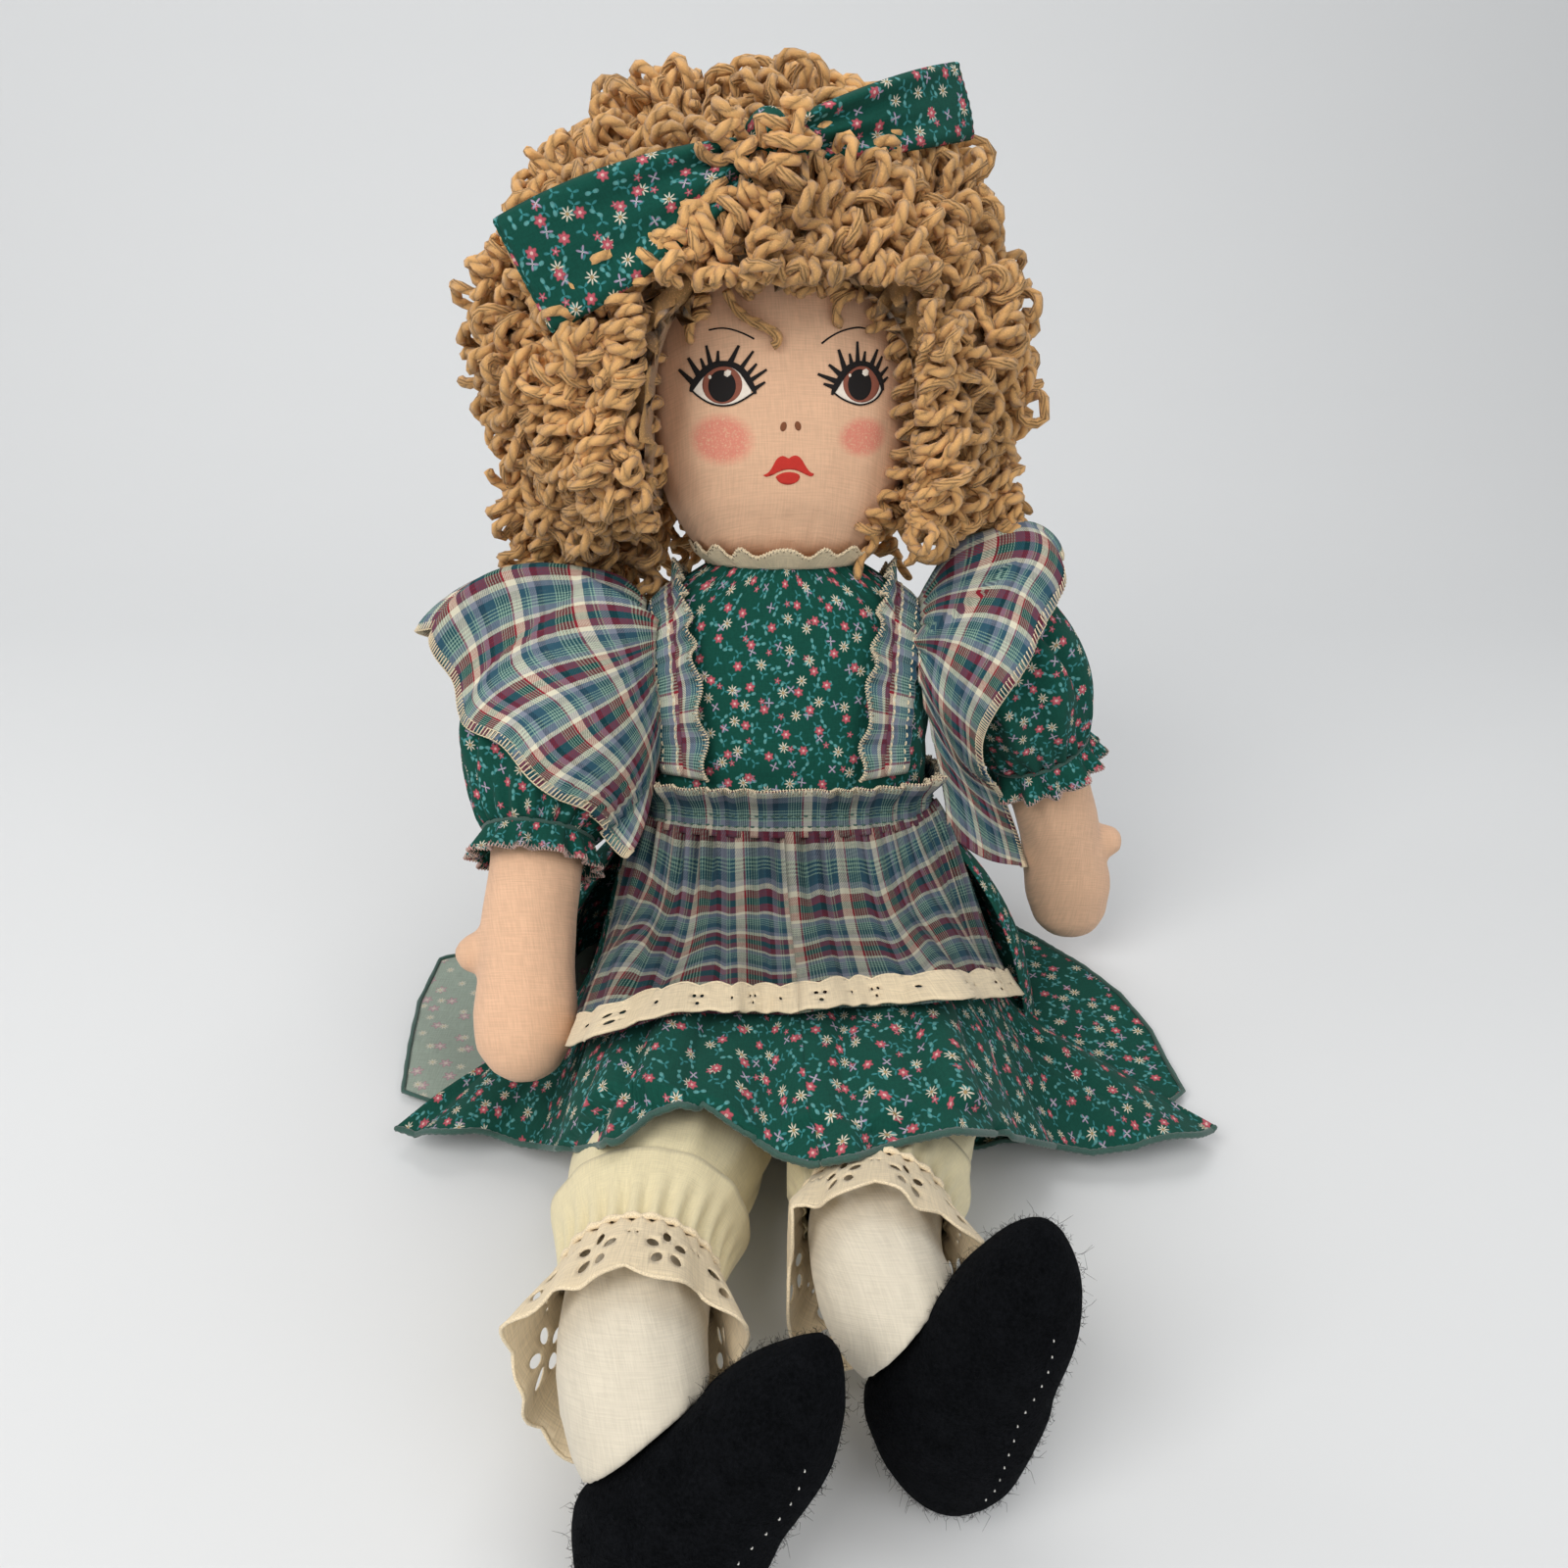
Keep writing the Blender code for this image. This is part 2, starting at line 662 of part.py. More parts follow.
def hip(side):
    front = spine(0.16)[0].y - torso_size(0.16)[1] - CLOTH - GAP * 2
    return Vector((SIDES[side] * HIP_HALF_SPACING, front - SLIP - THIGH_RADIUS, HIP_HEIGHT))


def leg_at(side, share):
    """Centre and heading of the leg at a share of its length: straight, then bent into the shoe."""
    toe, instep, _ = foot_axes(side)
    _, normal = mouth()
    last = -(toe * normal.x + instep * normal.y)
    top = hip(side)
    ankle = Vector(ANKLE[side])
    return bent_path((top, top - Vector((0, LEG_HANDLE, 0)), ankle - last * ANKLE_HANDLE, ankle), share)


def make_leg(side):
    top, heading = leg_at(side, 0)
    across, front = frame_of(heading)
    rings = []
    # The top of the thigh is a dome round the hip's axis
    for angle in (80, 60, 40, 20):
        a = math.radians(angle)
        radius = THIGH_RADIUS * math.cos(a)
        place = top - heading * (THIGH_RADIUS * math.sin(a))
        rings.append(ring_at(place, across, front, radius, radius, 14))
    for share in (0.0, 0.20, 0.42, 0.62, 0.74, 0.82, 0.88, 0.94, 1.0):
        place, way = leg_at(side, share)
        wide, deep = frame_of(way)
        radius = THIGH_RADIUS + (ANKLE_RADIUS - THIGH_RADIUS) * smooth(share)
        rings.append(ring_at(place, wide, deep, radius, radius, 14))
    loft("leg_" + side, rings, "stocking")


def make_shoe(side):
    toe, instep, across = foot_axes(side)
    middle, normal = mouth()
    end, heading = leg_at(side, 1)
    heel = end + heading * (SLIP + GAP) - toe * middle.x - instep * middle.y
    rings = []
    for length, low, high, half in SHOE_SHARES:
        centre = heel + toe * (length * SHOE_LENGTH) + instep * ((low + high) / 2 * SHOE_HEIGHT)
        tall = (high - low) / 2 * SHOE_HEIGHT
        rings.append(ring_at(centre, instep, across, tall, half * SHOE_HALF_WIDTH, 16, 2.2))
    shoe = loft("shoe_" + side, rings, "felt")
    opening = heel + toe * middle.x + instep * middle.y
    outward = toe * normal.x + instep * normal.y
    above = tilted_block("cut_mouth_" + side, opening, outward, SHOE_LENGTH, SHOE_LENGTH)
    combine(shoe, above, "DIFFERENCE")
    combine(shoe, floor_block(), "DIFFERENCE")


def floor_block():
    if "cut_floor" in bpy.data.objects:
        return bpy.data.objects["cut_floor"]
    return block("cut_floor", (-OVERRUN * 2, -OVERRUN * 2, -OVERRUN), (OVERRUN * 2, OVERRUN * 2, 0))


# Bloomers
def top_to_ankle(side):
    return (Vector(ANKLE[side]) - hip(side)).length


def bloomer_ring(side, share, sideways, upward, count):
    """A ring round the thigh, starting behind the hip's axis at a negative share."""
    place, heading = leg_at(side, max(share, 0))
    if share < 0:
        place = place + heading * (share * top_to_ankle(side))
    across, front = frame_of(heading)
    radius = THIGH_RADIUS + (ANKLE_RADIUS - THIGH_RADIUS) * smooth(share)
    return ring_at(place, across, front, radius + sideways, radius + upward, count)


BLOOMER_ROW_SHARES = (-0.145, 0.0, 0.19, 0.39, 0.58, 0.74, 0.855, 0.935, 1.0)


def above_underlay():
    """A cutter for all that would sink into the cloth on the floor."""
    if "cut_underlay" in bpy.data.objects:
        return bpy.data.objects["cut_underlay"]
    high = Vector((OVERRUN * 2, OVERRUN * 2, CLOTH + GAP))
    return block("cut_underlay", (-OVERRUN * 2, -OVERRUN * 2, -OVERRUN), high)


def make_bloomer_leg(side):
    outer = []
    inner = []
    for row in BLOOMER_ROW_SHARES:
        t = (row - BLOOMER_ROW_SHARES[0]) / (1 - BLOOMER_ROW_SHARES[0])
        if t < 0.765:
            puff = BLOOMER_PUFF * math.sin(math.pi * min(t * 1.15 + 0.12, 1)) ** 0.6
        else:
            puff = BLOOMER_PUFF * (1 - smooth((t - 0.6) / 0.4)) * 0.8
        share = row * BLOOMER_SHARES[side]
        outer.append(bloomer_ring(side, share, CLOTH + GAP + puff, CLOTH + GAP + puff * 0.55, 14))
        wall = min(puff, BLOOMER_PUFF * 0.5)
        inner.append(bloomer_ring(side, share, GAP + wall * 0.5, GAP + wall * 0.25, 14))
    leg = sleeve_of("bloomer_leg_" + side, outer, inner, "cream")
    combine(leg, above_underlay(), "DIFFERENCE")


def make_lace_cuff(side):
    start = ANKLE_RADIUS + (THIGH_RADIUS - ANKLE_RADIUS) * (1 - smooth(BLOOMER_SHARES[side]))
    place, heading = leg_at(side, BLOOMER_SHARES[side])
    across, front = frame_of(heading)

    def point(u, v):
        angle = math.tau * u
        radius = start + GAP + CLOTH / 2 + (LACE_FLARE + LACE_WAVE * (1 + math.sin(9 * angle))) * v
        outward = across * math.cos(angle) + front * math.sin(angle)
        spot = place + heading * (GAP * 2 + LACE_LENGTH * v) + outward * radius
        spot.z = max(spot.z, CLOTH + GAP + CLOTH / 2)
        spot.x = SIDES[side] * max(SIDES[side] * spot.x, GAP + CLOTH / 2)
        return spot

    cloth("lace_cuff_" + side, point, 32, 2, "ivory", closed=True)


def make_bloomers_seat():
    """A cup of cloth under and round the hips, open at the waist."""
    shares = [row[0] for row in TORSO_SHARES if row[0] < WAIST_SHARE - 0.05]
    outer = [torso_ring(share, SLIP + CLOTH, 20) for share in shares]
    outer[0] = [point - UP * (CLOTH + GAP) for point in outer[0]]
    inner = [torso_ring(share, SLIP, 20) for share in shares]
    inner[0] = [point - UP * GAP for point in inner[0]]
    mesh = bmesh.new()
    loops = [[mesh.verts.new(point) for point in ring] for ring in outer + list(reversed(inner))]
    for first, second in zip(loops, loops[1:]):
        for i in range(len(first)):
            j = (i + 1) % len(first)
            mesh.faces.new((first[i], first[j], second[j], second[i]))
    mesh.faces.new(list(reversed(loops[0])))
    mesh.faces.new(loops[-1])
    finish("bloomers_seat", mesh, "cream")


# Bodice
def outside_torso(angle, share, distance):
    """A point a true distance outside the torso's surface."""
    step = 0.01
    here = torso_point(angle, share, 0)
    round_way = torso_point(angle + 2, share, 0) - torso_point(angle - 2, share, 0)
    up_way = torso_point(angle, min(share + step, 1), 0) - torso_point(angle, share - step, 0)
    normal = up_way.cross(round_way).normalized()
    return here + normal * distance


def bodice_shares():
    rows = [row[0] for row in TORSO_SHARES if WAIST_SHARE + 0.05 < row[0] <= 0.93]
    return [WAIST_SHARE + GAP / TORSO_LENGTH * 2] + rows


def make_bodice_panel(name, start, end, columns):
    rows = bodice_shares()

    def point(u, v):
        return outside_torso(start + (end - start) * u, rows[round(v * (len(rows) - 1))], SLIP + CLOTH / 2)

    cloth(name, point, columns, len(rows) - 1, "floral")


def make_neck_frill():
    def point(u, v):
        share = NECK_FRILL_SHARE + NECK_FRILL_WIDTH * 0.5 * v / TORSO_LENGTH
        wave = NECK_FRILL_WAVE * (1 + math.sin(math.tau * 12 * u)) * v
        spot = outside_torso(360 * u, share, SLIP + CLOTH / 2 + wave)
        outward = Vector((spot.x, spot.y - spine(share)[0].y, 0)).normalized()
        return spot + outward * (NECK_FRILL_WIDTH * 0.6 * v)

    cloth("neck_frill", point, 48, 1, "ivory", closed=True)


# Skirt
def lap_height(x, reach):
    """Height of the cloth over the thighs, and where it falls beside and between them."""
    foot = LAP_FOOT_X["left" if x > 0 else "right"]
    fall = smooth((abs(x) - LAP_HALF_WIDTH) / (foot - LAP_HALF_WIDTH))
    dip = math.exp(-((x / (HIP_HALF_SPACING * 0.35)) ** 2)) * reach**3
    return LAP_HEIGHT + (SIDE_HEIGHT - LAP_HEIGHT) * fall - LAP_HEIGHT * 0.10 * dip


def skirt_base(u, v):
    """A point on the skirt's front: u from -1 at the doll's right side seam to 1, v from waist to hem."""
    waist = outside_torso(90 - 93 * u, WAIST_SHARE, GAP * 2 + CLOTH * 1.5)
    hem_x = SKIRT_SHIFT_X + u * SKIRT_HALF_SPREAD
    hem_y = HEM_FRONT_Y + (HEM_SIDE_Y - HEM_FRONT_Y) * abs(u) ** 1.6
    x = waist.x + (hem_x - waist.x) * v**0.8
    y = waist.y + (hem_y - waist.y) * v
    lap = lap_height(x, v)
    fold = SKIRT_FOLD * v**1.2 * (0.5 + 0.5 * math.cos(math.pi * SKIRT_FOLD_COUNT * u))
    return Vector((x, y, lap + (waist.z - lap) * (1 - v) ** 8 + fold))


def skirt_point(u, v, lift):
    if not lift:
        return skirt_base(u, v)
    step = 0.01
    across = skirt_base(u + step, v) - skirt_base(u - step, v)
    along = skirt_base(u, min(v + step, 1)) - skirt_base(u, max(v - step, 0))
    return skirt_base(u, v) + along.cross(across).normalized() * lift


def make_skirt_front():
    cloth("skirt_front", lambda u, v: skirt_point(2 * u - 1, v, 0), 30, 9, "floral")


def make_skirt_back():
    """The back of the skirt falls behind the doll to the floor, where the doll sits on the rest of it."""
    def point(u, v):
        angle = -6 - 168 * u
        waist = outside_torso(angle, WAIST_SHARE, GAP * 2 + CLOTH * 1.5)
        turn = math.radians(angle)
        foot = Vector((math.cos(turn) * BACK_SPREAD_X, -math.sin(turn) * BACK_SPREAD_Y, CLOTH / 2))
        fold = 1 + 0.03 * v * math.cos(math.tau * SKIRT_FOLD_COUNT * u)
        spot = waist.lerp(foot, v)
        spot.z = waist.z + (foot.z - waist.z) * v
        bow = math.sin(math.pi * v) * TORSO_HALF_DEPTH * 0.25
        outward = Vector((foot.x, foot.y, 0)).normalized()
        return Vector((spot.x * fold, spot.y * fold, spot.z)) + outward * bow

    back = cloth("skirt_back", point, 24, 5, "floral")
    corners = [Vector((a * SKIRT_HALF_SPREAD, b * SKIRT_HALF_SPREAD, 0)) for a, b in UNDER_SHARES]
    under = loft("add_underlay", [corners, [corner + UP * CLOTH for corner in corners]], "floral")
    combine(back, hide(under), "UNION")


# Pinafore
def apron_point(u, v, lift):
    across = 2 * u - 1
    reach = APRON_REACH_SHARE * (1 - 0.20 * across**2 - 0.10 * max(across, 0))
    return skirt_point(across * APRON_SPREAD_SHARE, v * reach, lift)


def make_apron():
    lift = CLOTH + SLIP * 4
    cloth("apron_skirt", lambda u, v: apron_point(u, 0.02 + 0.98 * v, lift), 24, 8, "plaid")
    trim = APRON_TRIM_WIDTH / (abs(HEM_FRONT_Y) * APRON_REACH_SHARE)

    def trim_point(u, v):
        wave = TRIM_WAVE * (1 + math.sin(math.tau * 14 * u))
        return apron_point(u, 1 - trim * 0.75 + trim * v, lift + CLOTH + SLIP * 2 + wave)

    cloth("apron_trim", trim_point, 44, 1, "ivory")


def make_waistband():
    """The gathered band of the pinafore, closed behind, with a small ruffle standing above it."""
    def point(u, v):
        share = WAIST_SHARE + (GAP * 4 + WAISTBAND_WIDTH * v) / TORSO_LENGTH
        wave = WAIST_WAVE * (0.4 + v) * math.sin(math.tau * WAIST_WAVES * u)
        return outside_torso(360 * u, share, LAYER_GAP + CLOTH / 2 + WAIST_WAVE * 1.4 + wave)

    cloth("apron_waistband", point, 48, 2, "plaid", closed=True)


def crest_share(x, offset):
    """Height along the torso at which a path beside the neck crosses the top of the shoulder."""
    low = ARMHOLE_SHARE
    high = 1.0
    for _ in range(30):
        middle = (low + high) / 2
        if torso_size(middle)[0] > x:
            low = middle
        else:
            high = middle
    return low


def over_shoulder(side, x, t, distance):
    """A point on a path up the chest, over the shoulder and down the back, t from 0 to 1."""
    foot = WAIST_SHARE + (GAP * 6 + WAISTBAND_WIDTH) / TORSO_LENGTH
    top = crest_share(x, distance)
    share = foot + (top - foot) * (1 - (1 - 2 * t) ** 2)
    wide, _ = torso_size(share)
    ratio = min(x / wide, 1)
    c = ratio ** (TORSO_POWER / 2)
    angle = math.degrees(math.acos(min(c, 1)))
    angle = angle if t < 0.5 else -angle
    spot = outside_torso(angle if side == "left" else 180 - angle, share, distance)
    return spot


def strap_x(t):
    return STRAP_X - STRAP_WIDTH * 0.6 * abs(2 * t - 1) ** 1.5


def make_strap(side):
    def point(u, v):
        return over_shoulder(side, strap_x(u) + STRAP_WIDTH * (v - 0.5), u, LAYER_GAP + CLOTH / 2)

    cloth("strap_" + side, point, 20, 2, "plaid")


def make_inner_frill(side):
    def point(u, v):
        x = strap_x(u) - STRAP_WIDTH * 0.5 - GAP * 2
        base = over_shoulder(side, x, u, LAYER_GAP + CLOTH)
        narrow = 0.35 + 0.65 * abs(2 * u - 1)
        inward = over_shoulder(side, x - INNER_FRILL_WIDTH * 0.7 * v * narrow, u, LAYER_GAP + CLOTH)
        normal = (over_shoulder(side, x, u, LAYER_GAP * 3) - base).normalized()
        wave = INNER_FRILL_WAVE * math.sin(math.tau * 11 * u)
        return inward + normal * (v * (INNER_FRILL_WAVE * 1.4 + wave))

    cloth("inner_frill_" + side, point, 34, 1, "plaid")


def make_wing(side):
    """The wide outer flounce: narrow along the chest and back, and lying over the sleeve between them."""
    first_v = 0.2
    start_deg = 105

    def tail(t, v):
        width = WING_TAIL * v
        base = over_shoulder(side, strap_x(t) + STRAP_WIDTH * 0.5 + CLOTH + GAP, t, LAYER_GAP + CLOTH * 2)
        centre = spine(ARMHOLE_SHARE)[0]
        away = (base - Vector((base.x, centre.y, base.z))).normalized()
        return base + Vector((SIDES[side] * width * 0.5, 0, 0)) + away * width

    def over_sleeve(u, v):
        share = WING_REACH_SHARES[side] * max(v - first_v, 0) / (1 - first_v)
        place, heading = arm_at(side, share)
        top = Vector((SIDES[side], 0, 2))
        top = (top - heading * top.dot(heading)).normalized()
        front = heading.cross(top) * SIDES[side]
        angle = math.radians(start_deg * (1 - 2 * min(max((u - 0.16) / 0.68, 0), 1)))
        wave = WING_WAVE * (1 + math.sin(math.tau * 6.5 * u)) * v
        puff = sleeve_puff(min(share / SLEEVE_SHARES[side], 1))
        radius = ARM_RADIUS * 1.08 + GAP + SLEEVE_CUFF_WALL + puff
        radius += WING_CLEARANCE + wave + WING_FLARE * v**3
        return place + (top * math.cos(angle) + front * math.sin(angle)) * radius

    def point(u, v):
        t = 0.07 + 0.86 * u
        near = tail(t, v)
        weight = smooth(min(u, 1 - u) / 0.26) * min(v / first_v, 1)
        return outside_sleeve(side, near.lerp(over_sleeve(u, v), weight), WING_CLEARANCE) if v else near

    cloth("wing_" + side, point, 24, 5, "plaid")


def make_all():
    make_torso()
    make_head()
    make_wig()
    for name in CURL_SHARES:
        make_curls(name)
    make_bow()
    make_bodice_panel("bodice_front", 0, 180, 20)
    make_bodice_panel("bodice_back_left", 0 - 0.5, -90 + 0.5, 10)
    make_bodice_panel("bodice_back_right", 180 + 0.5, 270 - 0.5, 10)
    make_neck_frill()
    make_bloomers_seat()
    make_skirt_front()
    make_skirt_back()
    make_apron()
    make_waistband()
    for side in SIDES:
        make_arm(side)
        make_sleeve(side)
        make_cuff_frill(side)
        make_leg(side)
        make_shoe(side)
        make_bloomer_leg(side)
        make_lace_cuff(side)
        make_strap(side)
        make_inner_frill(side)
        make_wing(side)


make_all()
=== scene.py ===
"""A seated rag doll: printed cotton frock, madras pinafore, eyelet lace, yarn curls and felt shoes."""

import functools
import random
from math import acos, atan2, copysign, cos, degrees, exp, hypot, pi, radians, sin, sqrt, tau

import bpy
from bpy.props import FloatProperty, FloatVectorProperty, IntProperty, PointerProperty
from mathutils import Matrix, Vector, geometry, noise
from mathutils.bvhtree import BVHTree


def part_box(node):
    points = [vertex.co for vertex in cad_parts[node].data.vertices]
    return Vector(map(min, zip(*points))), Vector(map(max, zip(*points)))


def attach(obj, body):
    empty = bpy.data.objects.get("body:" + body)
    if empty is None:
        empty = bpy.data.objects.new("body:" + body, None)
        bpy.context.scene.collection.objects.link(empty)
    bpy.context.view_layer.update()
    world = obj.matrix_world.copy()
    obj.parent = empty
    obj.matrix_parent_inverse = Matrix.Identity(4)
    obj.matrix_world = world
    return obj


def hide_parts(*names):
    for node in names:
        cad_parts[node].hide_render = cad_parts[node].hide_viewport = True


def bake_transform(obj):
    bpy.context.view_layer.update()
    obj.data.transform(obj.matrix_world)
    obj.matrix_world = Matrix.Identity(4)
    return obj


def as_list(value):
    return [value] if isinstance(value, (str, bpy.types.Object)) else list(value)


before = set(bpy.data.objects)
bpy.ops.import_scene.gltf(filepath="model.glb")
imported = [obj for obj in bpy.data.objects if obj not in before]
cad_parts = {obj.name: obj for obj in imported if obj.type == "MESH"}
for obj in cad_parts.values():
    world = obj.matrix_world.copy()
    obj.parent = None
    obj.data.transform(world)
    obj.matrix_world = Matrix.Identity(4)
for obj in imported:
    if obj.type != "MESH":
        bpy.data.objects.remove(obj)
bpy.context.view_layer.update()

bl_info = {
    "name": "Seated Rag Doll",
    "version": (1, 0, 0),
    "blender": (4, 5, 0),
    "location": "View3D > Sidebar > Rag Doll",
    "description": "Builds the cloth, yarn and felt of a seated rag doll around its stuffed body",
    "category": "Add Mesh",
}

# Sizes that the doll's solid pieces share with its clothes
GAP = 0.0003
SLIP = 0.0005
CLOTH = 0.0012
TORSO_LENGTH = 0.1870
TORSO_HALF_WIDTH = 0.0580
TORSO_HALF_DEPTH = 0.0430
TORSO_SEAT_Y = 0.0140
TORSO_LEAN_DEG = 12.0
TORSO_POWER = 2.4
TORSO_SHARES = (
    (0.00, 0.80, 0.78), (0.03, 0.90, 0.90), (0.10, 0.98, 0.98), (0.24, 1.00, 1.00),
    (0.36, 0.95, 0.95), (0.46, 0.90, 0.89), (0.58, 0.93, 0.86), (0.68, 0.95, 0.81),
    (0.77, 0.95, 0.74), (0.84, 0.90, 0.65), (0.89, 0.80, 0.56), (0.93, 0.62, 0.49),
    (0.96, 0.46, 0.45), (1.00, 0.39, 0.43),
)
WAIST_SHARE = 0.46
ARMHOLE_SHARE = 0.80
SEAT_Z = (CLOTH + GAP) * 2
SPINE_STEPS = 200
HEAD_HALF = (0.0520, 0.0410, 0.0660)
NECK_SINK = 0.0060
WIG_HALF = Vector((0.0970, 0.0740, 0.0880))
WIG_OFFSET = Vector((-0.0110, 0.0100, 0.0060))
HAIRLINE_Z = 0.2830
FACE_HALF_WIDTH = 0.0465
ARM_HANDLE = 0.0560
ARM_RADIUS = 0.0180
SHOULDER_SINK = 0.0110
SHOULDER_RISE = {"left": 0.0160, "right": 0.0080}
HAND_TIP = {"left": (0.1280, 0.0460, 0.0120), "right": (-0.0880, -0.0820, 0.0340)}
ARM_ANGLES = {"left": ((2, 38), (0, 8)), "right": ((34, 28), (50, -6))}
ARM_SHARES = (
    (0.00, 0.70), (0.04, 0.98), (0.12, 1.08), (0.30, 1.02), (0.50, 0.96), (0.66, 0.94), (0.76, 0.97),
    (0.86, 1.02), (0.93, 0.90), (0.975, 0.62), (1.00, 0.25),
)
SLEEVE_SHARES = {"left": 0.42, "right": 0.50}
SLEEVE_PUFF = 0.0120
CUFF_WALL = 0.0016
THIGH_RADIUS = 0.0210
ANKLE_RADIUS = 0.0180
LEG_HANDLE = 0.0700
ANKLE_HANDLE = 0.0240
ANKLE = {"left": (0.0320, -0.1910, 0.0457), "right": (-0.0310, -0.2190, 0.0440)}
HIP_HALF_SPACING = 0.0340
HIP_HEIGHT = 0.0270
SHOE_LENGTH = 0.0850
SHOE_HEIGHT = 0.0460
SHOE_MOUTH_SHARES = ((0.30, 0.945), (0.71, 0.665))
FOOT_SHARES = {
    "left": ((0.24, 0.11, 0.96), (-0.862, 0.473, 0.161)),
    "right": ((0.527, 0.276, 0.805), (-0.796, 0.495, 0.352)),
}
BLOOMER_SHARES = {"left": 0.57, "right": 0.62}
SKIRT_HALF_SPREAD = 0.1450
SKIRT_SHIFT_X = 0.0080
HEM_FRONT_Y = -0.1400
HEM_SIDE_Y = -0.0770
LAP_HEIGHT = 0.0660
LAP_HALF_WIDTH = 0.0480
LAP_FOOT_X = {"left": 0.0960, "right": 0.0840}
SIDE_HEIGHT = 0.0080
APRON_SPREAD_SHARE = 0.74
WAISTBAND_WIDTH = 0.0160
STRAP_X = 0.0450
STRAP_WIDTH = 0.0090
LAYER_GAP = SLIP + CLOTH + SLIP * 2
SIDES = {"left": 1, "right": -1}
UP = Vector((0, 0, 1))


# Sizes and colours that a maker would change
def colour_property(name, description, default):
    return FloatVectorProperty(
        name=name, description=description, default=default, size=3, min=0, max=1, subtype="COLOR"
    )


class RagDollColours(bpy.types.PropertyGroup):
    skin: colour_property("Skin", "Woven cotton of the face and arms", (0.80, 0.50, 0.32))
    stocking: colour_property("Stocking", "White cotton of the legs", (0.72, 0.65, 0.52))
    yarn: colour_property("Yarn", "Wool of the curls", (0.68, 0.380, 0.142))
    green: colour_property("Frock", "Ground of the printed cotton", (0.006, 0.070, 0.050))
    cream: colour_property("Bloomers", "Cotton of the bloomers", (0.80, 0.70, 0.44))
    ivory: colour_property("Lace", "Eyelet lace, frills and edging thread", (0.86, 0.71, 0.48))
    felt: colour_property("Felt", "Felt of the shoes", (0.0016, 0.0019, 0.0022))


def length_property(name, description, default, least=0.0003):
    return FloatProperty(name=name, description=description, default=default, min=least, unit="LENGTH")


class RagDollSizes(bpy.types.PropertyGroup):
    yarn_radius: length_property("Yarn radius", "Half the thickness of the yarn", 0.0019, 0.001)
    curl_count: IntProperty(
        name="Curls", description="Number of curls in the wig", default=1150, min=50, max=1500
    )
    sheet: length_property("Cloth thickness", "Thickness of the dress cottons", 0.0007)
    plaid_repeat: length_property("Check repeat", "Distance over which the checks repeat", 0.0280)


def colours():
    return bpy.context.scene.rag_doll_colours


def sizes():
    return bpy.context.scene.rag_doll_sizes


# The shapes that the clothes follow
def noise_at(*place):
    return noise.noise(Vector(place))


def ring_noise(angle, size, place):
    """Slow noise that joins up round a ring."""
    return noise_at(cos(angle) * size, sin(angle) * size, place)


def way_round(across, front, angle):
    return across * cos(angle) + front * sin(angle)


def any_way(rng):
    return Vector([rng.uniform(-1, 1) for _ in range(3)])


def keep_aside(spot, side, least):
    """Keeps a spot at least this far on its own side of the doll's middle."""
    spot.x = SIDES[side] * max(SIDES[side] * spot.x, least)


def smooth(t):
    t = min(max(t, 0), 1)
    return t * t * (3 - 2 * t)


def between(table, share, column):
    share = min(max(share, table[0][0]), table[-1][0])
    for low, high in zip(table, table[1:]):
        if share <= high[0]:
            t = (share - low[0]) / (high[0] - low[0])
            return low[column] + (high[column] - low[column]) * t
    return table[-1][column]


def make_spine_table():
    """Centre, up and forward of the torso at each step of its length."""
    rows = []
    y = TORSO_SEAT_Y
    z = SEAT_Z
    for i in range(SPINE_STEPS + 1):
        lean = radians(TORSO_LEAN_DEG) * smooth(i / SPINE_STEPS * 3)
        up = Vector((0, sin(lean), cos(lean)))
        rows.append((Vector((0, y, z)), up, Vector((0, -up.z, up.y))))
        y += TORSO_LENGTH / SPINE_STEPS * up.y
        z += TORSO_LENGTH / SPINE_STEPS * up.z
    return rows


SPINE = make_spine_table()
HEAD_UP = Vector((0, sin(radians(TORSO_LEAN_DEG)), cos(radians(TORSO_LEAN_DEG))))


def spine(share):
    position = min(max(share, 0), 1) * SPINE_STEPS
    low = min(int(position), SPINE_STEPS - 1)
    return tuple(a.lerp(b, position - low) for a, b in zip(SPINE[low], SPINE[low + 1]))


def torso_size(share):
    wide, deep = (between(TORSO_SHARES, share, column) for column in (1, 2))
    return TORSO_HALF_WIDTH * wide, TORSO_HALF_DEPTH * deep


def torso_point(angle, share):
    """A point on the torso's skin; the angle is 0 at the doll's left and 90 in front."""
    centre, _, forward = spine(share)
    wide, deep = torso_size(share)
    c = cos(radians(angle))
    s = sin(radians(angle))
    x = copysign(abs(c) ** (2 / TORSO_POWER), c) * wide
    return centre + Vector((x, 0, 0)) + forward * copysign(abs(s) ** (2 / TORSO_POWER), s) * deep


@functools.cache
def torso_facing(angle, share):
    here = torso_point(angle, share)
    round_way = torso_point(angle + 2, share) - torso_point(angle - 2, share)
    up_way = torso_point(angle, min(share + 0.01, 1)) - torso_point(angle, share - 0.01)
    return here, up_way.cross(round_way).normalized()


def outside_torso(angle, share, distance):
    here, facing = torso_facing(round(angle, 3), round(share, 5))
    return here + facing * distance


def bent_path(points, t):
    a, b, c, d = points
    place = a * (1 - t) ** 3 + b * (3 * t * (1 - t) ** 2) + c * (3 * t * t * (1 - t)) + d * t**3
    return place, ((b - a) * (1 - t) ** 2 + (c - b) * (2 * t * (1 - t)) + (d - c) * t * t).normalized()


def shoulder_plane_x():
    widest = max(torso_size(row[0])[0] for row in TORSO_SHARES if row[0] > WAIST_SHARE)
    return widest + SLIP + CLOTH + GAP * 2


